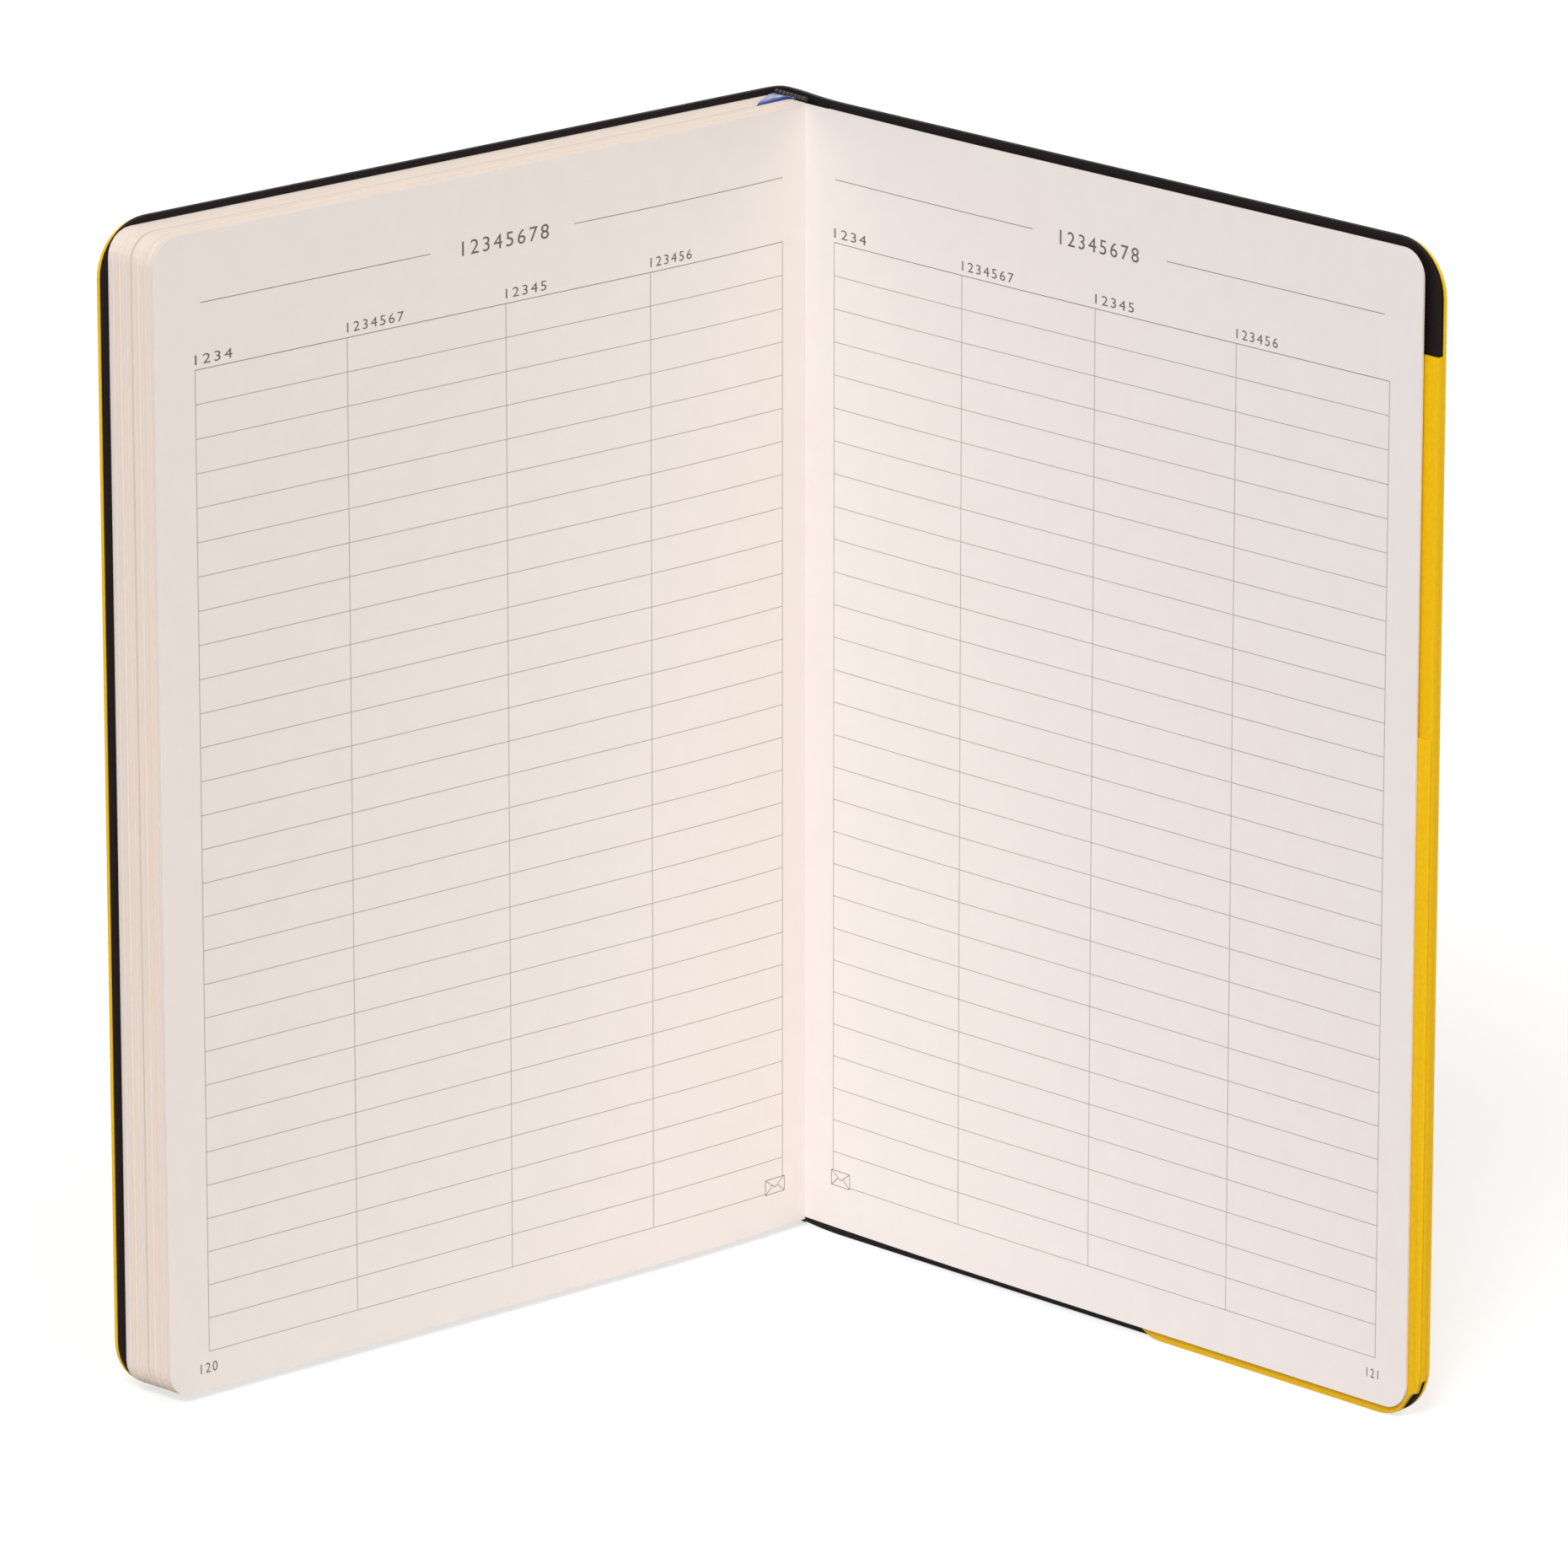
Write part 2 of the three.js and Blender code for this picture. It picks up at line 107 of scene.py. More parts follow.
def linear(hex_colour):
    channels = [int(hex_colour[place:place + 2], 16) / 255 for place in (1, 3, 5)]
    return [c / 12.92 if c <= 0.04045 else ((c + 0.055) / 1.055) ** 2.4 for c in channels] + [1.0]


def add_node(tree, kind, inputs=None, **settings):
    node = tree.nodes.new(kind)
    for name, value in settings.items():
        setattr(node, name, value)
    for name, value in (inputs or {}).items():
        socket = node.inputs[name]
        if isinstance(value, bpy.types.Node):
            value = value.outputs[0]
        if isinstance(value, bpy.types.NodeSocket):
            tree.links.new(value, socket)
        else:
            socket.default_value = value
    return node


def new_material(name, colour, roughness, **shader_values):
    material = bpy.data.materials.new(name)
    material.use_nodes = True
    tree = material.node_tree
    shader = tree.nodes["Principled BSDF"]
    shader.inputs["Base Color"].default_value = linear(colour)
    shader.inputs["Roughness"].default_value = roughness
    for socket, value in shader_values.items():
        shader.inputs[socket.replace("_", " ")].default_value = value
    return material, tree, shader


def finish_surface(shader, factor, tones, height=None, strength=0.0, depth=0.0, invert=False):
    """Colours a shader between two tones by one pattern, and raises its surface by another."""
    tree = shader.id_data
    colour = add_node(tree, "ShaderNodeMix", {
        "Factor": factor, "A": tones[0], "B": tones[1],
    }, data_type="RGBA")
    tree.links.new(colour.outputs["Result"], shader.inputs["Base Color"])
    if height is not None:
        bump = add_node(tree, "ShaderNodeBump", {
            "Height": height, "Strength": strength, "Distance": depth * MM,
        }, invert=invert)
        tree.links.new(bump.outputs["Normal"], shader.inputs["Normal"])


def wave_scale(pitch):
    """The scale of a wave texture whose bands are this far apart."""
    return math.pi / 20 / pitch * 2


print("middle grey in linear light:", round(linear("#808080")[0], 3))

# %% [markdown]
# The pages are uncoated ivory writing paper. Its fibres give a soft mottling a few millimetres wide, and a
# tooth of about 0.2 mm, which is too fine for the render and is drawn at 0.5 mm. Each leaf of the block also
# has its own tone, stored on its points, because the cut edges of a book are never all alike.

# %% Paper
cloud_size, tooth_size, tooth_depth = 6.0, 0.5, 0.05


def make_paper(name, light_tone, dark_tone, edge_tone):
    material, tree, shader = new_material(name, light_tone, 0.86, Specular_IOR_Level=0.3)
    coordinates = add_node(tree, "ShaderNodeTexCoord")
    clouds = add_node(tree, "ShaderNodeTexNoise", {
        "Vector": coordinates.outputs["Object"], "Scale": 1 / (cloud_size * MM), "Detail": 3.0,
    })
    mottled = add_node(tree, "ShaderNodeMix", {
        "Factor": clouds, "A": linear(light_tone), "B": linear(dark_tone),
    }, data_type="RGBA")
    leaf_tone = add_node(tree, "ShaderNodeAttribute", attribute_name="leaf_tone").outputs["Fac"]
    tooth = add_node(tree, "ShaderNodeTexNoise", {
        "Vector": coordinates.outputs["Object"], "Scale": 1 / (tooth_size * MM), "Detail": 4.0,
    })
    tones = (mottled.outputs["Result"], linear(edge_tone))
    finish_surface(shader, leaf_tone, tones, tooth, 0.12, tooth_depth)
    return material


page_paper = make_paper("uncoated writing paper", "#eee7e0", "#eae2db", "#efdcc8")
endleaf_paper = make_paper("uncoated endleaf paper", "#ece0d6", "#e6d9ce", "#f2dfca")
print("papers:", [material.name for material in (page_paper, endleaf_paper)])

# %% [markdown]
# The cover is soft polyurethane leathercloth: a yellow skin with a fine pressed grain outside and a black
# coated lining inside. The grain is a Voronoi pattern of cells about 0.9 mm wide, softened by noise, and it
# lies in the bump. Its hollows are also painted a little darker, which is painted shade. The sheen varies
# slowly, where hands have polished it.

# %% Leathercloth
pore_share, pore_weight, handling_size = 0.35, 0.35, 40.0


def make_leathercloth(name, colour, shadow, roughness, grain, depth, shine):
    material, tree, shader = new_material(name, colour, roughness, Specular_IOR_Level=shine)
    coordinates = add_node(tree, "ShaderNodeTexCoord")
    drift = add_node(tree, "ShaderNodeTexNoise", {
        "Vector": coordinates.outputs["Object"], "Scale": 1 / (2 * grain * MM), "Detail": 2.0,
    })
    wander = add_node(tree, "ShaderNodeVectorMath", {
        0: drift.outputs["Color"], 1: (grain * MM, grain * MM, grain * MM), 2: coordinates.outputs["Object"],
    }, operation="MULTIPLY_ADD")
    cells = add_node(tree, "ShaderNodeTexVoronoi", {
        "Vector": wander, "Scale": 1 / (grain * MM), "Smoothness": 0.6,
    }, feature="SMOOTH_F1")
    pores = add_node(tree, "ShaderNodeTexNoise", {
        "Vector": coordinates.outputs["Object"], "Scale": 1 / (pore_share * grain * MM), "Detail": 3.0,
    })
    relief = add_node(tree, "ShaderNodeMath", {0: pores, 1: pore_weight, 2: cells.outputs["Distance"]},
                      operation="MULTIPLY_ADD")
    # The hollows of the grain get more of the darker tone: this is painted shade.
    tone = add_node(tree, "ShaderNodeMapRange", {
        "Value": relief, "From Min": 0.3, "From Max": 1.1, "To Min": 0.0, "To Max": 0.35,
    })
    finish_surface(shader, tone, (linear(colour), linear(shadow)), relief, 0.55, depth, invert=True)
    handling = add_node(tree, "ShaderNodeTexNoise", {
        "Vector": coordinates.outputs["Object"], "Scale": 1 / (handling_size * MM), "Detail": 4.0,
    })
    gloss = add_node(tree, "ShaderNodeMapRange", {
        "Value": handling, "From Min": 0.3, "From Max": 0.7,
        "To Min": roughness - 0.05, "To Max": roughness + 0.06,
    })
    tree.links.new(gloss.outputs["Result"], shader.inputs["Roughness"])
    return material


# The second colour of each layer is the painted shade in the hollows of its grain.
yellow_skin = make_leathercloth("yellow leathercloth", "#eebd03", "#d8a500", 0.5, 0.9, 0.08, 0.2)
black_lining = make_leathercloth("black coated lining", "#140d0c", "#0b0706", 0.6, 0.6, 0.05, 0.16)
black_core = make_leathercloth("black backing sheet", "#0c0a09", "#070605", 0.75, 0.5, 0.04, 0.1)
print("layers of the cover:", [material.name for material in (yellow_skin, black_core, black_lining)])

# %% [markdown]
# The ribbon marker is woven satin. Its warp threads float along its length, so it shines in a band across
# them, with fine lines about 0.3 mm apart that are drawn at 0.45 mm. The pattern follows the ribbon's own UV
# map, where U runs across it and V along it in millimetres.

# %% Satin ribbon
warp_pitch = 0.45
satin_blue, tree, shader = new_material(
    "blue satin ribbon", "#22398a", 0.34, Specular_IOR_Level=0.5, Sheen_Weight=0.25, Sheen_Roughness=0.4,
)
ribbon_map = add_node(tree, "ShaderNodeUVMap", uv_map="ribbon")
threads = add_node(tree, "ShaderNodeTexWave", {
    "Vector": ribbon_map, "Scale": wave_scale(warp_pitch), "Distortion": 0.4, "Detail": 1.0,
}, bands_direction="X")
finish_surface(shader, threads, (linear("#19317c"), linear("#2e468f")), threads, 0.3, 0.05)
print("satin:", len(tree.nodes), "nodes")

# %% [markdown]
# Headbands, gauze and thread are cotton. The headband's cloth is black with pale threads wound over it about
# every 1.2 mm, the gauze is an open weave, and the sewing thread is twisted and waxed. Each pattern is a
# wave across the back of the block, turned by a Mapping node into the left page's frame.

# %% Headband, gauze and thread


def make_cloth(name, dark, pale, pitch, share, roughness):
    material, tree, shader = new_material(name, dark, roughness, Specular_IOR_Level=0.2, Sheen_Weight=0.2)
    coordinates = add_node(tree, "ShaderNodeTexCoord")
    turned = add_node(tree, "ShaderNodeMapping", {
        "Vector": coordinates.outputs["Object"], "Rotation": (0.0, 0.0, -sides["left"]["turn"]),
    })
    across, along = [
        add_node(tree, "ShaderNodeTexWave", {
            "Vector": turned, "Scale": wave_scale(pitch * MM), "Distortion": 0.6, "Detail": 1.0,
        }, bands_direction=direction)
        for direction in "YZ"
    ]
    weave = add_node(tree, "ShaderNodeMath", {0: along, 1: share, 2: across}, operation="MULTIPLY_ADD")
    level = add_node(tree, "ShaderNodeMapRange", {
        "Value": weave, "From Min": 0.55, "From Max": 0.95 + share, "To Min": 0.0, "To Max": 1.0,
    })
    finish_surface(shader, level, (linear(dark), linear(pale)), weave, 0.5, 0.1)
    return material


headband_cloth = make_cloth("wound headband cloth", "#14110f", "#564e47", 1.2, 0.0, 0.8)
gauze_cloth = make_cloth("open gauze", "#bdb5a6", "#e4dccd", 0.9, 1.0, 0.9)
waxed_thread = make_cloth("waxed linen thread", "#d8cfbf", "#f0e9da", 0.6, 0.6, 0.6)
headband_silk = make_cloth("grey headband silk", "#453e39", "#6b625a", 0.6, 0.6, 0.5)
cottons = (headband_cloth, headband_silk, gauze_cloth, waxed_thread)
print("cloth and thread:", [material.name for material in cottons])

# %% [markdown]
# The ruling is offset printing in warm grey inks: pale for the rows and darker for the heading, each a
# little uneven. Ink has almost no thickness, but a thin raised line survives when the model is exported,
# which a pattern inside the paper's shader would not.

# %% Ink
film_size = 0.8


def make_ink(name, full, thin):
    material, tree, shader = new_material(name, full, 0.8, Specular_IOR_Level=0.2)
    coordinates = add_node(tree, "ShaderNodeTexCoord")
    film = add_node(tree, "ShaderNodeTexNoise", {
        "Vector": coordinates.outputs["Object"], "Scale": 1 / (film_size * MM), "Detail": 2.0,
    })
    finish_surface(shader, film, (linear(full), linear(thin)))
    return material


ruling_ink = make_ink("pale grey offset ink", "#a4998e", "#b6aca1")
heading_ink = make_ink("middle grey offset ink", "#786e66", "#8d837a")
letter_ink = make_ink("dark grey offset ink", "#655c55", "#7a7068")
print("inks:", [material.name for material in (ruling_ink, heading_ink, letter_ink)])

# %% [markdown]
# Three solids of the frame are plain sheets and threads that hardly show, so they keep their shape and only
# get a better finish. The others are hidden when their finer piece is made below.

# %% Finishes of the solids that stay
finishes = {
    "front_flyleaf": endleaf_paper, "sewing_thread": waxed_thread, "spine_gauze": gauze_cloth,
}
for name, material in finishes.items():
    nodes[name].data.materials.clear()
    nodes[name].data.materials.append(material)
print("finished solids:", sorted(finishes))

# %% [markdown]
# A leaf, a signature and a layer of the cover are all plates with rounded corners at the fore-edge. The
# outline comes from stations along the plate: near a corner the stations follow its arc, and elsewhere they
# are set closer where the plate will bend.

# %% Plates with rounded corners
least_step = 0.02


def corner_lift(distance, radius):
    if radius <= 0 or distance >= radius:
        return 0.0
    return radius - math.sqrt(max(0.0, radius ** 2 - (radius - distance) ** 2))


def stations_between(start, end, corner, places, steps=8):
    arc = [end - corner * (1 - math.cos(step / steps * math.pi / 2)) for step in range(steps + 1)]
    inside = [place for place in places if start < place < end]
    found = sorted({round(place, 4) for place in [start, *inside, *arc]})
    return [place for index, place in enumerate(found)
            if index == 0 or place - found[index - 1] > least_step]


def spaced(start, end, step):
    count = max(1, round((end - start) / step))
    return [start + (end - start) * place / count for place in range(count + 1)]


def strip_mesh(name, rings):
    """A closed strip from rings of four points, each in the same order."""
    mesh = bmesh.new()
    loops = [[mesh.verts.new(point) for point in ring] for ring in rings]
    for first, second in zip(loops, loops[1:]):
        for corner in range(4):
            following = (corner + 1) % 4
            mesh.faces.new((first[corner], first[following], second[following], second[corner]))
    mesh.faces.new(reversed(loops[0]))
    mesh.faces.new(loops[-1])
    bmesh.ops.recalc_face_normals(mesh, faces=mesh.faces)
    data = bpy.data.meshes.new(name)
    mesh.to_mesh(data)
    mesh.free()
    return data


page_stations = stations_between(0.0, page_width, page_corner, [])
print("stations of a page's corner alone:", len(page_stations))

# %% [markdown]
# A mesh is only a shape. It becomes a piece when an object holds it and it has a material. The cut edges of
# leathercloth are never knife-sharp, so a bevel rounds them. Faces are shaded smooth, except at edges that
# turn by more than an angle, so that plates keep crisp borders and their bends show no facets.

# %% Pieces, rounded edges and smooth shading


def new_piece(name, data, material=None):
    piece = bpy.data.objects.new(name, data)
    bpy.context.scene.collection.objects.link(piece)
    if material:
        data.materials.clear()
        data.materials.append(material)
    return piece


def smooth_by_angle(data, angle=35):
    for face in data.polygons:
        face.use_smooth = True
    data.set_sharp_from_angle(angle=math.radians(angle))


def round_edges(data, rounding, is_cut, clamp_overlap=False):
    """Rounds the sharp edges of a mesh for which is_cut is true."""
    mesh = bmesh.new()
    mesh.from_mesh(data)
    mesh.verts.ensure_lookup_table()
    cut = [edge for edge in mesh.edges if edge.calc_face_angle(0) > math.radians(40) and is_cut(edge)]
    bmesh.ops.bevel(mesh, geom=cut, offset=rounding * MM, segments=2, affect="EDGES", profile=0.5,
                    clamp_overlap=clamp_overlap)
    mesh.to_mesh(data)
    mesh.free()
    smooth_by_angle(data, 50)


def evaluated_mesh(thing):
    """The mesh that an object has after its modifiers, or after its text is filled in."""
    bpy.context.view_layer.update()
    evaluated = thing.evaluated_get(bpy.context.evaluated_depsgraph_get())
    return bpy.data.meshes.new_from_object(evaluated)


# %% [markdown]
# The two leaves that face the reader run unbroken into the fold. In the solid model a small gap lets them
# turn; here one sheet starts at the gutter line and bends there, because paper has no hinge. The last leaves
# hang a little higher than the block, so a strip of the black lining shows below them.

# %% The turning leaf, the last leaf and the rear flyleaf
last_leaves_foot = page_foot + 0.5
fold_start, fold_end, fold_reach = 0.5, 5.5, 8.0
flyleaf_start = 6.35


def page_sheet(name, side, foot, start=0.0, depth=0.0):
    bends = spaced(0.0, fold_reach, 0.5) + spaced(fold_reach, page_width, 4.0)
    rings = []
    for along in stations_between(start, page_width, page_corner, bends):
        lift = corner_lift(page_width - along, page_corner)
        low, high = foot + lift, page_head - lift
        front, back = dip(side, along) + depth, dip(side, along) + depth + leaf_thickness
        rings.append([
            side_point(side, along, front, low), side_point(side, along, front, high),
            side_point(side, along, back, high), side_point(side, along, back, low),
        ])
    data = strip_mesh(name, rings)
    smooth_by_angle(data)
    return new_piece(name, data, page_paper)


def blend_at_fold(piece):
    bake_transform(piece)


turning_sheet = page_sheet("turning_leaf_sheet", sides["left"], page_foot)
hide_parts("turning_leaf")
blend_at_fold(turning_sheet)
last_sheet = page_sheet("last_leaf_sheet", sides["right"], last_leaves_foot)
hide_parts("last_leaf", "gutter_fold")
blend_at_fold(last_sheet)
flyleaf_sheet = page_sheet("rear_flyleaf_sheet", sides["right"], last_leaves_foot, flyleaf_start,
                           leaf_thickness + layer_gap)
flyleaf_sheet.data.materials[0] = endleaf_paper
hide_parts("rear_flyleaf")
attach(flyleaf_sheet, "last_leaves")
print("page sheets:", len(turning_sheet.data.polygons), "and", len(last_sheet.data.polygons), "faces")

# %% [markdown]
# Leaves and printed lines follow the same curved page, so their node trees share one group of nodes: the
# rule of dip, worked out for each point. Every tree gets named inputs for its sizes and ends in real
# geometry with its material, because instances are lost when the model is exported.

# %% Helpers for node trees


def new_tree(name, inputs):
    """A node tree, the outputs of its input node and its output node. Inputs are given by their type."""
    tree = bpy.data.node_groups.new(name, "GeometryNodeTree")
    for kind, names in {"Geometry": ["Geometry"], **inputs}.items():
        for socket_name in names:
            tree.interface.new_socket(socket_name, in_out="INPUT", socket_type=f"NodeSocket{kind}")
    tree.interface.new_socket("Geometry", in_out="OUTPUT", socket_type="NodeSocketGeometry")
    return tree, tree.nodes.new("NodeGroupInput").outputs, tree.nodes.new("NodeGroupOutput")


def page_surface(tree, given):
    """The place of each point, and how far the page lies behind the gutter there, by the rule of dip."""
    place = add_node(tree, "ShaderNodeSeparateXYZ", {0: add_node(tree, "GeometryNodeInputPosition")})
    ratio = add_node(tree, "ShaderNodeMath", {0: place.outputs["X"], 1: given["Reach"]}, operation="DIVIDE")
    nearness = add_node(tree, "ShaderNodeMath", {0: 1.0, 1: ratio}, operation="SUBTRACT")
    nearness = add_node(tree, "ShaderNodeMath", {0: nearness, 1: 0.0}, operation="MAXIMUM")
    nearness = add_node(tree, "ShaderNodeMath", {0: nearness, 1: 2.0}, operation="POWER")
    raised = add_node(tree, "ShaderNodeMath", {0: nearness, 1: given["Swell"]}, operation="MULTIPLY")
    surface = add_node(tree, "ShaderNodeMath", {0: raised, 1: given["Swell"]}, operation="SUBTRACT")
    return place.outputs, surface


def end_tree(tree, result, shape, material):
    whole = add_node(tree, "GeometryNodeRealizeInstances", {"Geometry": shape})
    coloured = add_node(tree, "GeometryNodeSetMaterial", {"Geometry": whole, "Material": material})
    tree.links.new(coloured.outputs[0], result.inputs[0])


# %% [markdown]
# A sewn block is made of signatures, each a few folded sheets. Here each signature has its eight leaves, and
# a node tree places them: it copies one flat leaf, numbers the copies, and bends every copy to the layer
# that it has in the pressed block. Two random values per leaf leave the cut edges slightly uneven, and one
# more gives each leaf its tone. A fixed seed keeps them the same on every run.

# %% Node tree: the leaves of one signature
signature_tree, given, result = new_tree("leaves of a signature", {
    "Int": ["Leaves", "Seed"],
    "Float": ["Layer", "First", "Signatures", "Paper Depth", "Layer Gap", "Swell", "Reach", "Sheet Share",
              "Unevenness", "Signature Step", "Page Width"],
    "Material": ["Material"],
})
tree = signature_tree
points = add_node(tree, "GeometryNodeMeshLine", {"Count": given["Leaves"], "Offset": (0.0, 0.0, 0.0)})
numbered = add_node(tree, "GeometryNodeStoreNamedAttribute", {
    "Geometry": points, "Name": "leaf_number", "Value": add_node(tree, "GeometryNodeInputIndex"),
}, data_type="FLOAT", domain="POINT")
copies = add_node(tree, "GeometryNodeInstanceOnPoints", {"Points": numbered, "Instance": given["Geometry"]})
leaves = add_node(tree, "GeometryNodeRealizeInstances", {"Geometry": copies})
number = add_node(tree, "GeometryNodeInputNamedAttribute", {"Name": "leaf_number"}, data_type="FLOAT")
number = number.outputs["Attribute"]
place, surface = page_surface(tree, given)
paper_left = add_node(tree, "ShaderNodeMath", {0: given["Paper Depth"], 1: surface}, operation="SUBTRACT")
pressed = add_node(tree, "ShaderNodeMath", {0: paper_left, 1: given["Signatures"]}, operation="DIVIDE")
stride = add_node(tree, "ShaderNodeMath", {0: pressed, 1: given["Layer Gap"]}, operation="ADD")
stacked = add_node(tree, "ShaderNodeMath", {0: stride, 1: given["Layer"], 2: surface},
                   operation="MULTIPLY_ADD")
started = add_node(tree, "ShaderNodeMath", {0: stacked, 1: given["First"]}, operation="ADD")
pitch = add_node(tree, "ShaderNodeMath", {0: stride, 1: given["Leaves"]}, operation="DIVIDE")
depth = add_node(tree, "ShaderNodeMath", {0: place["Y"], 1: given["Sheet Share"]}, operation="MULTIPLY")
order = add_node(tree, "ShaderNodeMath", {0: number, 1: depth}, operation="SUBTRACT")
behind = add_node(tree, "ShaderNodeMath", {0: order, 1: pitch, 2: started}, operation="MULTIPLY_ADD")
facing = add_node(tree, "ShaderNodeMath", {0: behind, 1: -1.0}, operation="MULTIPLY")
# In a random value node the float output comes second, after the vector one, and is found by its place
uneven = [
    add_node(tree, "FunctionNodeRandomValue", {
        "Min": -0.5, "Max": 0.5, "ID": number,
        "Seed": add_node(tree, "ShaderNodeMath", {0: given["Seed"], 1: shift}, operation="ADD"),
    }, data_type="FLOAT").outputs[1]
    for shift in (0.0, 100.0, 200.0)
]
reach_share = add_node(tree, "ShaderNodeMath", {0: place["X"], 1: given["Page Width"]}, operation="DIVIDE")
edge_shift = add_node(tree, "ShaderNodeMath", {
    0: uneven[0], 1: given["Unevenness"], 2: given["Signature Step"],
}, operation="MULTIPLY_ADD")
edge_shift = add_node(tree, "ShaderNodeMath", {0: edge_shift, 1: reach_share}, operation="MULTIPLY")
along = add_node(tree, "ShaderNodeMath", {0: place["X"], 1: edge_shift}, operation="ADD")
head_shift = add_node(tree, "ShaderNodeMath", {
    0: uneven[1], 1: given["Unevenness"], 2: place["Z"],
}, operation="MULTIPLY_ADD")
final_place = add_node(tree, "ShaderNodeCombineXYZ", {0: along, 1: facing, 2: head_shift})
moved = add_node(tree, "GeometryNodeSetPosition", {"Geometry": leaves, "Position": final_place})
toned = add_node(tree, "GeometryNodeStoreNamedAttribute", {
    "Geometry": moved, "Name": "leaf_tone",
    "Value": add_node(tree, "ShaderNodeMath", {0: uneven[2], 1: 0.5}, operation="ADD"),
}, data_type="FLOAT", domain="POINT")
end_tree(tree, result, toned, given["Material"])
print("signature tree:", len(tree.nodes), "nodes")

# %% [markdown]
# A node tree's inputs are set through the sockets' identifiers, before anything is evaluated. The evaluated
# result then becomes a plain mesh, and the modifier goes.

# %% Apply a node tree to a mesh


def grow(name, data, tree, values):
    piece = new_piece(name, data)
    modifier = piece.modifiers.new("nodes", "NODES")
    modifier.node_group = tree
    for socket in tree.interface.items_tree:
        if socket.in_out == "INPUT" and socket.name in values:
            modifier[socket.identifier] = values[socket.name]
    grown = evaluated_mesh(piece)
    piece.modifiers.clear()
    piece.data = grown
    return piece


# %% [markdown]
# The block has twelve signatures. Signature 12 is at the front, under the turning leaf, and the ribbon's
# slot lies in the middle. The leaves slide over each other when the block lies open, so its fore-edge
# slants. The flat leaf is a unit thick, so the tree can give it the depth that its layer allows.

# %% The twelve signatures
signature_count = 12
leaves_in_signature = 8
leaf_start = -0.3
ribbon_slot = 0.4
block_back = 10.42
block_gaps = 2 * layer_gap + (signature_count - 2) * layer_gap + ribbon_slot
block_slant = 1.4
sheet_share = 0.93
unevenness = 0.1
signature_steps = [0.0, -0.04, 0.06, 0.02, 0.05, 0.12, -0.12, -0.02, -0.08, 0.0, -0.04, 0.0]


def flat_leaf(start):
    bends = spaced(0.0, 12.0, 3.0) + spaced(12.0, 66.0, 6.0) + [90.0, 120.0, 150.0]
    rings = []
    for along in stations_between(start, page_width, page_corner, bends, steps=6):
        lift = corner_lift(page_width - along, page_corner)
        low, high = (page_foot + lift) * MM, (page_head - lift) * MM
        rings.append([
            (along * MM, 0.0, low), (along * MM, 0.0, high),
            (along * MM, -1.0, high), (along * MM, -1.0, low),
        ])
    return strip_mesh("flat leaf", rings)


for number in range(1, signature_count + 1):
    layer = signature_count - number
    slot_depth = ribbon_slot - layer_gap if layer >= signature_count / 2 else 0.0
    slide = block_slant * (layer + 1) / (signature_count + 1) + signature_steps[number - 1]
    name = f"signature_{number:02d}"
    leaves_piece = grow(f"leaves_of_{name}", flat_leaf(leaf_start), signature_tree, {
        "Leaves": leaves_in_signature, "Layer": float(layer), "Signatures": float(signature_count),
        "First": (leaf_thickness + layer_gap + slot_depth) * MM,
        "Paper Depth": (block_back - block_gaps - 2 * leaf_thickness) * MM, "Layer Gap": layer_gap * MM,
        "Swell": sides["left"]["swell"] * MM, "Reach": sides["left"]["reach"] * MM,
        "Sheet Share": sheet_share, "Unevenness": unevenness * MM, "Signature Step": slide * MM,
        "Page Width": page_width * MM, "Seed": number, "Material": page_paper,
    })
    leaves_piece.data.transform(sides["left"]["frame"])
    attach(leaves_piece, "text_block")
    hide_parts(name)
print("leaves in the last signature made:", len(leaves_piece.data.polygons), "faces")

# %% [markdown]
# The cover wraps the block in one piece: front cover, spine and back cover are a single sheet with three
# layers. Its section is one path through the front cover, round the back corner of the block, past the
# gutter and out to the back cover. Each layer is the same path at its own depth.

# %% The cover's path in plan
cover_height = 240.0
cover_end = 170.0
cover_corner = 11.0
front_outside = 12.12
back_outside = 2.6
front_hinge = 4.0
back_hinge = 10.0
corner_pull = 7.4
crown_pull = 6.0
run_pull = 3.2
spine_bulge = 3.9
spine_middle = 0.55 * block_back
bend_reach = 6


def plan(side_name, along, behind):
    return side_point(sides[side_name], along, behind, 0.0)


def bezier(points, share):
    rest = 1 - share
    weights = (rest ** 3, 3 * rest ** 2 * share, 3 * rest * share ** 2, share ** 3)
    return sum((weight * point for weight, point in zip(weights, points)), Vector((0, 0, 0)))


round_corner = [
    plan("left", front_hinge, front_outside), plan("left", front_hinge - corner_pull, front_outside),
    plan("left", -spine_bulge, spine_middle + crown_pull), plan("left", -spine_bulge, spine_middle),
]
spine_run = [
    plan("left", -spine_bulge, spine_middle), plan("left", -spine_bulge, spine_middle - run_pull),
    plan("right", back_hinge - corner_pull, back_outside), plan("right", back_hinge, back_outside),
]


def cover_stretch(kind, start, end, step=1.0):
    """Points on the outside of the cover, each with its side's name and its distance from the gutter."""
    if kind == "corner" or kind == "run":
        points = round_corner if kind == "corner" else spine_run
        return [(bezier(points, share), None, 0.0) for share in spaced(start, end, step)]
    side_name = "left" if kind == "front" else "right"
    outside = front_outside if kind == "front" else back_outside
    hinge = front_hinge if kind == "front" else back_hinge
    bends = spaced(start, min(end, hinge + bend_reach), 0.5) + spaced(hinge + bend_reach, cover_end, 20.0)
    places = stations_between(start, end, cover_corner, bends, steps=10)
    return [(plan(side_name, place, outside), side_name, place) for place in places]


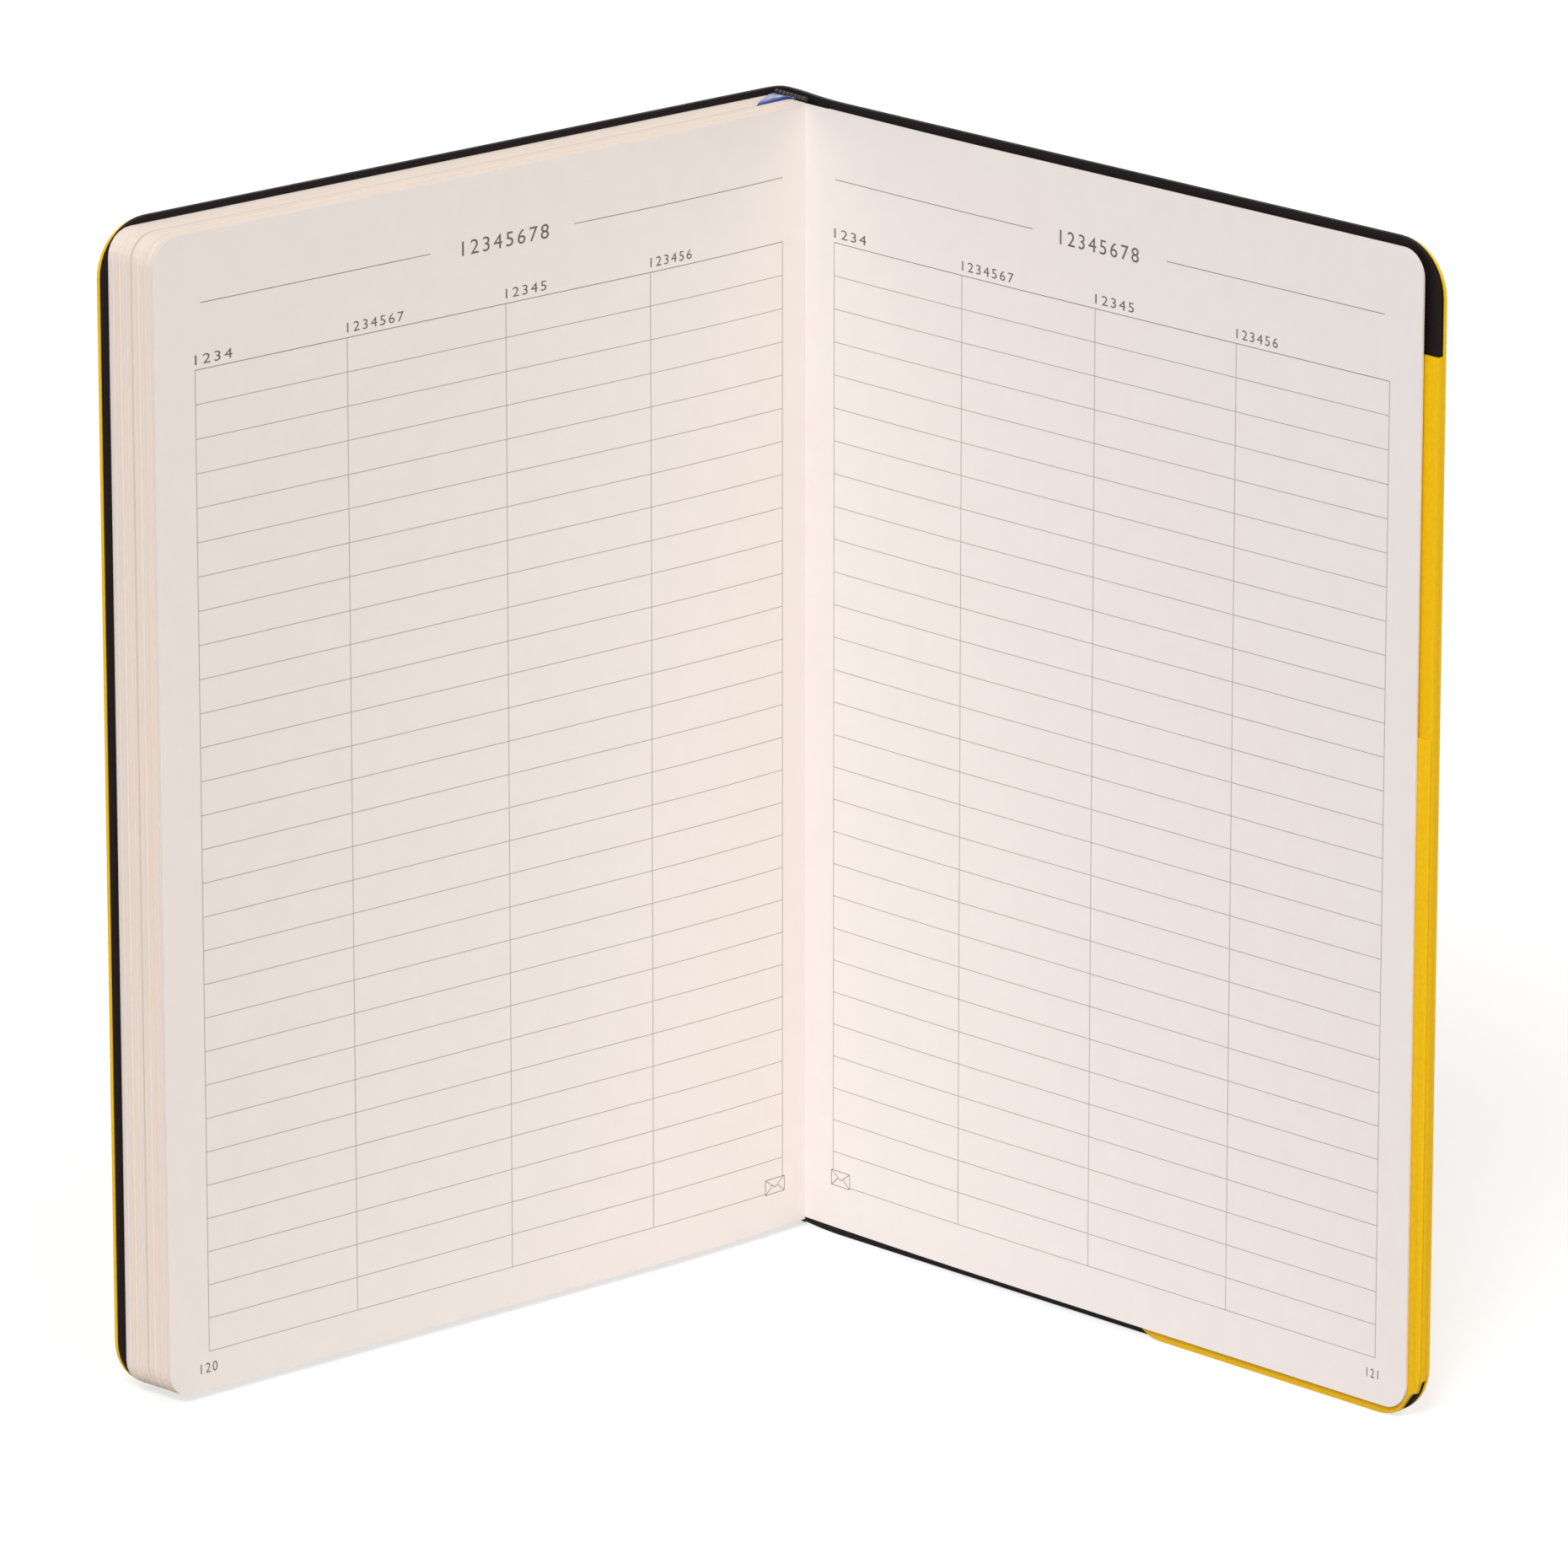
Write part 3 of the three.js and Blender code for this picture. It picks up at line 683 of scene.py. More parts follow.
joint_start, joint_end = 0.5, 0.9
whole_corner = cover_stretch("corner", 0.0, 1.0, 1 / 24)
run_to_joint = cover_stretch("run", 0.0, joint_start, 1 / 32)
joint_run = cover_stretch("run", joint_start, joint_end, 1 / 32)
run_to_back = cover_stretch("run", joint_end, 1.0, 1 / 32)
around_spine = (whole_corner, run_to_joint, joint_run, run_to_back)
print("points round the spine:", [len(stretch) for stretch in around_spine])

# %% [markdown]
# A layer is a plate that follows the path at its own depth, square to it. It could be a section swept along
# a curve, but a plate of four points per station keeps the flat covers exactly flat, and its corners are cut
# by the same rule as the pages'. Only its free edges are rounded, so that the stretches meet.

# %% A sheet along the cover's path


def joined(*stretches):
    points = []
    for stretch in stretches:
        for point in stretch:
            if not points or (point[0] - points[-1][0]).length > 1e-6:
                points.append(point)
    return points


def cover_sheet(name, points, end, trim, inset, thickness, rounding, open_start, open_end):
    rings = []
    for index, (place, side_name, along) in enumerate(points):
        before = points[max(0, index - 1)][0]
        after = points[min(len(points) - 1, index + 1)][0]
        heading = (after - before).normalized()
        inward = Vector((heading.y, -heading.x, 0.0))
        if side_name:
            side = sides[side_name]
            inward = side["frame"].to_3x3() @ Vector((0.0, side["facing"], 0.0))
        lift = trim + (corner_lift(end - along, cover_corner) if side_name else 0.0)
        outer = place + inward * inset * MM
        inner = place + inward * (inset + thickness) * MM
        low, high = Vector((0, 0, lift * MM)), Vector((0, 0, (cover_height - lift) * MM))
        rings.append([outer + low, outer + high, inner + high, inner + low])
    data = strip_mesh(name, rings)
    last = len(rings) - 1

    def is_free(edge):
        ends = {vert.index // 4 for vert in edge.verts}
        return not ((ends == {0} and not open_start) or (ends == {last} and not open_end))

    round_edges(data, rounding, is_free)
    return data


# %% [markdown]
# Each of the three layers is cut in three at places that never open: the front cover with the spine, the
# strip that bends when the last leaf closes, and the back cover. The black layers end just short of the
# yellow skin at the fore-edge and stand just proud of it at the head and foot, which is why the notebook has
# a yellow outline at its sides and none along its top.

# %% The three layers of the cover
black_inset = 0.3
black_end = cover_end - black_inset
skin_thickness = 0.65
# For each layer: its fore-edge, trim at head and foot, depth, thickness, rounding, material and slot
layers = [
    ("skin", cover_end, black_inset, 0.0, skin_thickness, 0.16, yellow_skin, "cover_skin"),
    ("core", black_end, 0.0, 0.67, 0.58, 0.08, black_core, "cover_core"),
    ("lining", black_end, 0.0, 1.27, 0.33, 0.08, black_lining, "cover_lining"),
]
for layer, end, trim, inset, thickness, rounding, material, slot_name in layers:
    section = (end, trim, inset, thickness, rounding)
    front_points = joined(reversed(cover_stretch("front", front_hinge, end)), whole_corner, run_to_joint)
    back_points = joined(run_to_back, cover_stretch("back", back_hinge, end))
    front_piece = new_piece(f"front_cover_and_spine_{layer}",
                            cover_sheet(layer, front_points, *section, True, False), material)
    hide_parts(f"front_cover_{layer}", f"spine_{layer}")
    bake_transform(front_piece)
    joint_piece = new_piece(f"back_joint_{layer}_strip",
                            cover_sheet(layer, joint_run, *section, False, False), material)
    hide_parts("back_joint_skin" if layer == "skin" else "back_joint_lining")
    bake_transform(joint_piece)
    back_piece = new_piece(f"back_cover_{layer}_sheet",
                           cover_sheet(layer, back_points, *section, False, True), material)
    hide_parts(f"back_cover_{layer}")
    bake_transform(back_piece)
    print(layer, [len(piece.data.polygons) for piece in (front_piece, joint_piece, back_piece)], "faces")

# %% [markdown]
# The pocket inside the back cover has two tiers of the same leathercloth. Each is a sheet with its own head
# and rounded corners at the foot. The rear tier is turned in round the cover's fore-edge, so along the
# pocket the edge of the cover is yellow from front to back. Only in the middle of the cover's rounded
# corner, where the cloth is pulled back as it is turned in, does a black crescent show.

# %% The pocket's two tiers
pocket_start = 92.1
pocket_foot = 0.05
pocket_thickness = 0.5
pocket_rounding = 0.12
inner_corner = 8.0
turned_edge = cover_end - 0.04
turned_width = 0.24
crescent_depth = 1.0
crescent_start, crescent_end = math.radians(26.25), math.radians(60)
crescent_places = [turned_edge - cover_corner * (1 - math.cos(angle))
                   for angle in spaced(crescent_start, crescent_end, math.radians(3.75))]


def outer_corner_lift(distance):
    """The lift of the pocket's outer corner at the foot, with the crescent in its middle."""
    lift = corner_lift(distance, cover_corner)
    if distance >= cover_corner:
        return lift
    turned = math.acos(1 - max(distance, 0.01) / cover_corner)
    share = min(1.0, max(0.0, (turned - crescent_start) / (crescent_end - crescent_start)))
    return lift + crescent_depth * math.sin(math.pi * share) / math.sin(turned)


def pocket_tier(name, head, near, start_corners, turned_back):
    """turned_back is how far behind the gutter the sheet reaches where it is turned in at the fore-edge."""
    foot_start, head_start = start_corners
    arcs = [pocket_start + foot_start * (1 - math.cos(step / 8 * math.pi / 2)) for step in range(9)]
    turn = turned_edge - turned_width
    bends = arcs + crescent_places + [turn - 0.04, turn]
    bends += spaced(pocket_start + foot_start, turned_edge - cover_corner, 8.0)
    rings = []
    for along in stations_between(pocket_start, turned_edge, cover_corner, bends):
        low = pocket_foot + max(corner_lift(along - pocket_start, foot_start),
                                outer_corner_lift(turned_edge - along))
        high = head - corner_lift(along - pocket_start, head_start)
        back = turned_back if along >= turn - 0.01 else near + pocket_thickness
        rings.append([
            side_point(sides["right"], along, near, low), side_point(sides["right"], along, near, high),
            side_point(sides["right"], along, back, high), side_point(sides["right"], along, back, low),
        ])
    data = strip_mesh(name, rings)
    round_edges(data, pocket_rounding, lambda edge: edge.is_convex, clamp_overlap=True)
    piece = new_piece(f"{name}_sheet", data, yellow_skin)
    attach(piece, "back_cover")
    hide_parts(name)
    print(name, len(data.polygons), "faces")


rear_head, front_head = 217.8, 141.0
rear_near, front_near = 0.2, -0.4
pocket_tier("pocket_rear_tier", rear_head, rear_near, (inner_corner, inner_corner),
            back_outside - skin_thickness)
pocket_tier("pocket_front_tier", front_head, front_near, (inner_corner, 0.0), front_near + pocket_thickness)

# %% [markdown]
# A headband is a cord with thread wound over it, sewn or glued to the head and the foot of the block, with a
# cloth tail down its back. A node tree winds the thread: it sets rings along the cord at an even pitch, and
# every third ring is of the paler silk.

# %% Node tree: a wound headband
headband_tree, given, result = new_tree("wound headband", {
    "Float": ["Length", "Pitch", "Cord Radius", "Thread Radius"],
    "Vector": ["Tail Size", "Tail Place"],
    "Material": ["Cloth", "Silk"],
})
tree = headband_tree
cord_end = add_node(tree, "ShaderNodeCombineXYZ", {0: given["Length"]})
cord_line = add_node(tree, "GeometryNodeCurvePrimitiveLine", {"Start": (0.0, 0.0, 0.0), "End": cord_end})
cord_section, ring_line, thread_section = [
    add_node(tree, "GeometryNodeCurvePrimitiveCircle", {
        "Resolution": resolution, "Radius": given[radius],
    }).outputs["Curve"]
    for resolution, radius in ((16, "Cord Radius"), (20, "Cord Radius"), (8, "Thread Radius"))
]
cord = add_node(tree, "GeometryNodeCurveToMesh", {
    "Curve": cord_line, "Profile Curve": cord_section, "Fill Caps": True,
})
ring = add_node(tree, "GeometryNodeCurveToMesh", {"Curve": ring_line, "Profile Curve": thread_section})
upright = add_node(tree, "GeometryNodeTransform", {"Geometry": ring, "Rotation": (0.0, math.pi / 2, 0.0)})
spots = add_node(tree, "GeometryNodeCurveToPoints", {"Curve": cord_line, "Length": given["Pitch"]},
                 mode="LENGTH")
turn_number = add_node(tree, "ShaderNodeMath", {
    0: add_node(tree, "GeometryNodeInputIndex"), 1: 3.0,
}, operation="MODULO")
is_pale = add_node(tree, "ShaderNodeMath", {0: turn_number, 1: 0.5}, operation="LESS_THAN")
marked = add_node(tree, "GeometryNodeStoreNamedAttribute", {
    "Geometry": spots.outputs["Points"], "Name": "pale", "Value": is_pale,
}, data_type="FLOAT", domain="POINT")
wound = add_node(tree, "GeometryNodeInstanceOnPoints", {"Points": marked, "Instance": upright})
turns = add_node(tree, "GeometryNodeRealizeInstances", {"Geometry": wound})
dark_turns = add_node(tree, "GeometryNodeSetMaterial", {"Geometry": turns, "Material": given["Cloth"]})
pale = add_node(tree, "GeometryNodeInputNamedAttribute", {"Name": "pale"}, data_type="FLOAT")
chosen = add_node(tree, "ShaderNodeMath", {0: pale.outputs["Attribute"], 1: 0.5}, operation="GREATER_THAN")
all_turns = add_node(tree, "GeometryNodeSetMaterial", {
    "Geometry": dark_turns, "Selection": chosen, "Material": given["Silk"],
})
tail = add_node(tree, "GeometryNodeMeshCube", {"Size": given["Tail Size"]})
moved_tail = add_node(tree, "GeometryNodeTransform", {
    "Geometry": tail.outputs["Mesh"], "Translation": given["Tail Place"],
})
cloth_parts = add_node(tree, "GeometryNodeJoinGeometry")
tree.links.new(cord.outputs[0], cloth_parts.inputs[0])
tree.links.new(moved_tail.outputs[0], cloth_parts.inputs[0])
cloth_shape = add_node(tree, "GeometryNodeSetMaterial", {
    "Geometry": cloth_parts, "Material": given["Cloth"],
})
whole = add_node(tree, "GeometryNodeJoinGeometry")
tree.links.new(all_turns.outputs[0], whole.inputs[0])
tree.links.new(cloth_shape.outputs[0], whole.inputs[0])
realized = add_node(tree, "GeometryNodeRealizeInstances", {"Geometry": whole})
tree.links.new(realized.outputs[0], result.inputs[0])
print("headband tree:", len(tree.nodes), "nodes")

# %% [markdown]
# In the tree's own frame X runs across the back of the block, Y towards the pages and Z up. One matrix turns
# that frame into the left page's.

# %% The two headbands
headband_start = 0.5
headband_end = block_back - 0.4
headband_along = -0.6
cord_radius = 0.34
silk_radius = 0.1
wound_radius = cord_radius + silk_radius
silk_pitch = 0.38
tail_height, tail_depth = 12.0, 0.25
head_clearance = 0.26


def wound_headband(name, height, tail_direction):
    """tail_direction is 1 where the tail goes up from the cord and -1 where it goes down."""
    length, height_of_tail = (headband_end - headband_start) * MM, tail_height * MM
    piece = grow(f"{name}_wound", bpy.data.meshes.new(name), headband_tree, {
        "Length": length, "Pitch": silk_pitch * MM, "Cord Radius": cord_radius * MM,
        "Thread Radius": silk_radius * MM, "Tail Size": (length, tail_depth * MM, height_of_tail),
        "Tail Place": (length / 2, -cord_radius * MM, tail_direction * height_of_tail / 2),
        "Cloth": headband_cloth, "Silk": headband_silk,
    })
    axes = Matrix(((0, 1, 0, headband_along * MM), (-1, 0, 0, -headband_start * MM), (0, 0, 1, height * MM),
                   (0, 0, 0, 1)))
    piece.data.transform(sides["left"]["frame"] @ axes)
    smooth_by_angle(piece.data, 40)
    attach(piece, "text_block")
    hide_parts(name)
    return piece


wound_headband("headband_top", page_head + head_clearance + wound_radius, -1.0)
wound = wound_headband("headband_bottom", page_foot - layer_gap - wound_radius, 1.0)
print("wound headband:", len(wound.data.polygons), "faces")

# %% [markdown]
# The ribbon is glued to the back of the block, comes out between the headband and the pages as a low arch
# and goes down between two signatures. It turns by a right angle on the way, so its free edge is a lens seen
# from the front, and soft creases run along it where the pages press it. It is laid out in rows of points.

# %% The ribbon's rows
ribbon_thickness = 0.2
ribbon_inset = 0.7
ribbon_width = 8.0
ribbon_glued_width = 6.4
glued_behind = 6.8
ribbon_on_block = page_head + 0.13
ribbon_tail, ribbon_tongue = 36, 205
glued_run = 35.6
arch_rise, arch_fall = 0.55, 0.1
crease_depth = 0.05
rows_glued, rows_in_arch, rows_tucked, columns = 6, 24, 12, 12


def signature_back(layer, along):
    surface = dip(sides["left"], along)
    pressed = (block_back - surface - block_gaps - 2 * leaf_thickness) / signature_count
    return surface + leaf_thickness + layer_gap + layer * (pressed + layer_gap) + pressed


def ribbon_row(start_along, height, over):
    """One row of points across the ribbon: over is 0 where it is glued and 1 where it is tucked in."""
    row = []
    for column in range(columns + 1):
        across = column / columns
        tucked_along = ribbon_inset + ribbon_width * (1 - across)
        tucked_behind = signature_back(5, tucked_along) + layer_gap + ribbon_thickness / 2
        glued = glued_behind + ribbon_glued_width * (0.5 - across)
        ease = over * over * (3 - 2 * over)
        along = start_along + (tucked_along - start_along) * ease
        behind = glued + (tucked_behind - glued) * ease
        crease = crease_depth * math.sin(over * math.pi) * math.sin(across * 17 + over * 2.2)
        row.append((along, behind, height + crease, across))
    return row


# The rows follow the ribbon: up the back of the block, over its edge, across the arch and down between pages
ribbon_rows = [ribbon_row(-1.45, page_head - ribbon_tail + glued_run * step / rows_glued, 0.0)
               for step in range(rows_glued + 1)]
ribbon_rows += [ribbon_row(-1.36, page_head - 0.12, 0.0), ribbon_row(-1.1, page_head + 0.06, 0.0),
                ribbon_row(-0.65, ribbon_on_block, 0.0)]
for step in range(rows_in_arch + 1):
    share = step / rows_in_arch
    arch = arch_rise * math.sin(math.pi * share) - arch_fall * share
    ribbon_rows.append(ribbon_row(-0.2, ribbon_on_block + arch, share))
ribbon_rows += [ribbon_row(0.0, page_head - ribbon_tongue * step / rows_tucked, 1.0)
                for step in range(1, rows_tucked + 1)]
print("rows of the ribbon:", len(ribbon_rows))

# %% [markdown]
# The rows become a sheet of quads with a UV map in millimetres, which the satin's threads follow. Solidify
# then gives the sheet its thickness, half on each side.

# %% The ribbon marker
mesh = bmesh.new()
uv_layer = mesh.loops.layers.uv.new("ribbon")
grid = [[mesh.verts.new(side_point(sides["left"], *point[:3])) for point in row] for row in ribbon_rows]
lengths = [0.0]
for first, second in zip(grid, grid[1:]):
    lengths.append(lengths[-1] + (second[columns // 2].co - first[columns // 2].co).length / MM)
for row in range(len(grid) - 1):
    for column in range(columns):
        corners = [(row, column), (row, column + 1), (row + 1, column + 1), (row + 1, column)]
        face = mesh.faces.new([grid[r][c] for r, c in corners])
        for loop, (r, c) in zip(face.loops, corners):
            loop[uv_layer].uv = (ribbon_rows[r][c][3] * ribbon_width, lengths[r])
bmesh.ops.recalc_face_normals(mesh, faces=mesh.faces)
ribbon_data = bpy.data.meshes.new("ribbon")
mesh.to_mesh(ribbon_data)
mesh.free()
ribbon = new_piece("ribbon_marker_band", ribbon_data, satin_blue)
solid = ribbon.modifiers.new("thickness", "SOLIDIFY")
solid.thickness = ribbon_thickness * MM
solid.offset = 0.0
ribbon_data = evaluated_mesh(ribbon)
ribbon.modifiers.clear()
ribbon.data = ribbon_data
smooth_by_angle(ribbon.data, 50)
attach(ribbon, "text_block")
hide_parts("ribbon_marker")
print("ribbon length in mm:", round(lengths[-1], 1))

# %% [markdown]
# The printed ruling is a set of straight segments on a flat page. A node tree turns each segment into a
# curve, gives it a thin section, and lays it on the bent page surface.

# %% Node tree: printed lines
print_tree, given, result = new_tree("printed lines", {
    "Float": ["Line Width", "Ink Share", "Lift", "Swell", "Reach", "Facing", "Step"],
    "Material": ["Material"],
})
tree = print_tree
strokes = add_node(tree, "GeometryNodeMeshToCurve", {"Mesh": given["Geometry"]})
fine = add_node(tree, "GeometryNodeResampleCurve", {"Curve": strokes, "Length": given["Step"]},
                mode="LENGTH")
half_width = add_node(tree, "ShaderNodeMath", {0: given["Line Width"], 1: 0.5}, operation="MULTIPLY")
section = add_node(tree, "GeometryNodeCurvePrimitiveCircle", {"Resolution": 6, "Radius": half_width})
lines = add_node(tree, "GeometryNodeCurveToMesh", {
    "Curve": fine, "Profile Curve": section.outputs["Curve"], "Fill Caps": True,
})
place, surface = page_surface(tree, given)
lifted = add_node(tree, "ShaderNodeMath", {0: given["Lift"], 1: surface}, operation="SUBTRACT")
turned = add_node(tree, "ShaderNodeMath", {0: lifted, 1: given["Facing"]}, operation="MULTIPLY")
film = add_node(tree, "ShaderNodeMath", {
    0: place["Y"], 1: given["Ink Share"], 2: turned,
}, operation="MULTIPLY_ADD")
final_place = add_node(tree, "ShaderNodeCombineXYZ", {0: place["X"], 1: film, 2: place["Z"]})
laid = add_node(tree, "GeometryNodeSetPosition", {"Geometry": lines, "Position": final_place})
end_tree(tree, result, laid, given["Material"])
print("printed lines tree:", len(tree.nodes), "nodes")

# %% [markdown]
# The page is a register: a heading between two rules, a table with four columns, and a small envelope at the
# inner corner. Heights are in millimetres above the surface that the notebook stands on, and distances run
# from the gutter.

# %% The ruling of one page
header_height = {"left": 211.2, "right": 211.4}
table_foot = {"left": 9.8, "right": 11.6}
row_count = 29
heading_height = 224.5
column_places = {"left": [6.6, 42.4, 79.6, 119.6, 157.2], "right": [8.4, 44.7, 81.1, 118.8, 158.9]}
heading_rules = {"left": [(6.6, 62.0), (98.5, 155.6)], "right": [(8.7, 64.0), (100.1, 157.4)]}
envelope_size = (5.4, 3.2)


def envelope_box(side_name):
    near, low = column_places[side_name][0] - 0.5, table_foot[side_name] - 0.35
    return near, low, near + envelope_size[0], low + envelope_size[1]


def pale_segments(side_name):
    """The rows and columns of the table."""
    columns = column_places[side_name]
    head, foot = header_height[side_name], table_foot[side_name]
    near, low, far, high = envelope_box(side_name)
    segments = [((columns[0], high), (columns[0], head)), ((far, foot), (columns[-1], foot))]
    for row in range(1, row_count):
        height = head - row * (head - foot) / row_count
        segments.append(((columns[0], height), (columns[-1], height)))
    segments += [((place, foot), (place, head)) for place in columns[1:]]
    return segments


def dark_segments(side_name):
    """The top line of the table, the two rules beside the heading, and the envelope."""
    columns, head = column_places[side_name], header_height[side_name]
    segments = [((columns[0], head), (columns[-1], head))]
    segments += [((start, heading_height), (end, heading_height)) for start, end in heading_rules[side_name]]
    near, low, far, high = envelope_box(side_name)
    middle = ((near + far) / 2, low + envelope_size[1] * 0.4)
    corners = [(near, low), (far, low), (far, high), (near, high)]
    segments += list(zip(corners, corners[1:] + corners[:1]))
    segments += [((near, high), middle), (middle, (far, high))]
    fold_height = low + envelope_size[1] * 0.52
    segments += [((near, low), (near + envelope_size[0] * 0.36, fold_height)),
                 ((far, low), (far - envelope_size[0] * 0.36, fold_height))]
    return segments


print("lines of one page:", len(pale_segments("left")), "pale and", len(dark_segments("left")), "dark")

# %% [markdown]
# The leaf that turns is printed on both sides, and the leaf under it and the last leaf on the side that
# shows. A page's lines are two pieces, one for each ink, because the tree gives its result one material.

# %% Print the lines
line_width, ink_share, line_step = 0.17, 0.08, 6.0


def print_lines(name, side_name, body, lift, segments, ink):
    vertices, edges = [], []
    for (start, low), (end, high) in segments:
        edges.append((len(vertices), len(vertices) + 1))
        vertices += [(start * MM, 0.0, low * MM), (end * MM, 0.0, high * MM)]
    data = bpy.data.meshes.new(name)
    data.from_pydata(vertices, edges, [])
    side = sides[side_name]
    piece = grow(name, data, print_tree, {
        "Line Width": line_width * MM, "Ink Share": ink_share, "Lift": lift * MM,
        "Swell": side["swell"] * MM, "Reach": side["reach"] * MM, "Facing": side["facing"],
        "Step": line_step * MM, "Material": ink,
    })
    piece.data.transform(side["frame"])
    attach(piece, body)
    return piece


ink_lift = 0.012
under_leaf = -(leaf_thickness + layer_gap) + ink_lift
ruled_pages = [
    ("turning_leaf_front", "left", "turning_leaf", ink_lift),
    ("turning_leaf_back", "left", "turning_leaf", -leaf_thickness - ink_lift),
    ("signature_12", "left", "text_block", under_leaf),
    ("last_leaf", "right", "last_leaves", ink_lift),
]
for name, side_name, body, lift in ruled_pages:
    ruling = print_lines(f"ruling_of_{name}", side_name, body, lift, pale_segments(side_name), ruling_ink)
    print_lines(f"dark_lines_of_{name}", side_name, body, lift, dark_segments(side_name), heading_ink)
print("ruling of one page:", len(ruling.data.polygons), "faces")

# %% [markdown]
# Headings and page numbers are set in a plain sans serif, as figures. A text object becomes a mesh first, is
# scaled to the height and width of the line, and its points are then laid on the page.

# %% Printed figures
film_share = 0.5
title_height = 2.0
title_rise = 1.0


def print_figures(name, side_name, body, lines, lift=ink_lift):
    """Each line is its figures, their height, the line's width, its start and the height of its foot."""
    side = sides[side_name]
    reading = -side["facing"]
    mesh = bmesh.new()
    for body_text, height, width, start, base in lines:
        curve = bpy.data.curves.new("line", "FONT")
        curve.body = body_text
        curve.space_character = 1.25
        curve.extrude = 0.01
        curve.resolution_u = 4
        writer = new_piece("line", curve)
        printed = evaluated_mesh(writer)
        bpy.data.objects.remove(writer)
        xs = [vert.co.x for vert in printed.vertices]
        ys = [vert.co.y for vert in printed.vertices]
        for vert in printed.vertices:
            across = (vert.co.x - min(xs)) / (max(xs) - min(xs)) * width
            up = (vert.co.y - min(ys)) / (max(ys) - min(ys)) * height
            vert.co = page_point(side, start + reading * across, base + up, lift + vert.co.z * film_share)
        mesh.from_mesh(printed)
        bpy.data.meshes.remove(printed)
    bmesh.ops.remove_doubles(mesh, verts=mesh.verts, dist=1e-7)
    bmesh.ops.recalc_face_normals(mesh, faces=mesh.faces)
    data = bpy.data.meshes.new(name)
    mesh.to_mesh(data)
    mesh.free()
    piece = new_piece(name, data, letter_ink)
    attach(piece, body)
    return piece


column_titles = [("1234", 9.2), ("1234567", 14.2), ("12345", 10.4), ("123456", 10.9)]
left_lines = [("12345678", 3.0, 22.1, 90.6, 222.7), ("120", 2.1, 4.2, 159.4, 5.4)]
right_lines = [("12345678", 3.0, 21.3, 71.4, 222.7), ("121", 1.9, 3.1, 156.7, 7.2)]
title_starts = {"left": column_places["left"][:0:-1], "right": column_places["right"]}
for side_name, lines in (("left", left_lines), ("right", right_lines)):
    base = header_height[side_name] + title_rise
    for (title, width), start in zip(column_titles, title_starts[side_name]):
        lines.append((title, title_height, width, start, base))
print_figures("figures_of_turning_leaf_front", "left", "turning_leaf", left_lines)
print_figures("figures_of_signature_12", "left", "text_block", left_lines, under_leaf)
print_figures("figures_of_last_leaf", "right", "last_leaves", right_lines)

# %% [markdown]
# The studio is a plain pale floor. To the camera about half of it is its own white, so that the background
# stays white at any light, and the rest is a matt surface that takes the notebook's soft shadow.

# %% Floor and surroundings
floor_reach = 8.0
own_white, glow_strength = 0.45, 1.56
ambient = 0.22


def seen_directly(tree):
    """1 for rays from the camera, off gloss and through clear things, and 0 for the rest."""
    rays = add_node(tree, "ShaderNodeLightPath").outputs
    seen = add_node(tree, "ShaderNodeMath", {
        0: rays["Is Camera Ray"], 1: rays["Is Glossy Ray"],
    }, operation="MAXIMUM")
    return add_node(tree, "ShaderNodeMath", {0: seen, 1: rays["Is Transmission Ray"]}, operation="MAXIMUM")


floor_data = bpy.data.meshes.new("floor")
floor_corners = [(x * floor_reach, y * floor_reach, 0) for x, y in ((-1, -1), (1, -1), (1, 1), (-1, 1))]
floor_data.from_pydata(floor_corners, [], [(0, 1, 2, 3)])
floor_white, tree, shader = new_material("studio floor", "#ccc9c6", 0.9, Specular_IOR_Level=0.1)
share = add_node(tree, "ShaderNodeMath", {0: seen_directly(tree), 1: own_white}, operation="MULTIPLY")
glow = add_node(tree, "ShaderNodeEmission", {"Color": (1, 1, 1, 1), "Strength": glow_strength})
mixed = add_node(tree, "ShaderNodeMixShader", {0: share, 1: shader, 2: glow})
tree.links.new(mixed.outputs[0], tree.nodes["Material Output"].inputs["Surface"])
floor = new_piece("studio_floor", floor_data, floor_white)

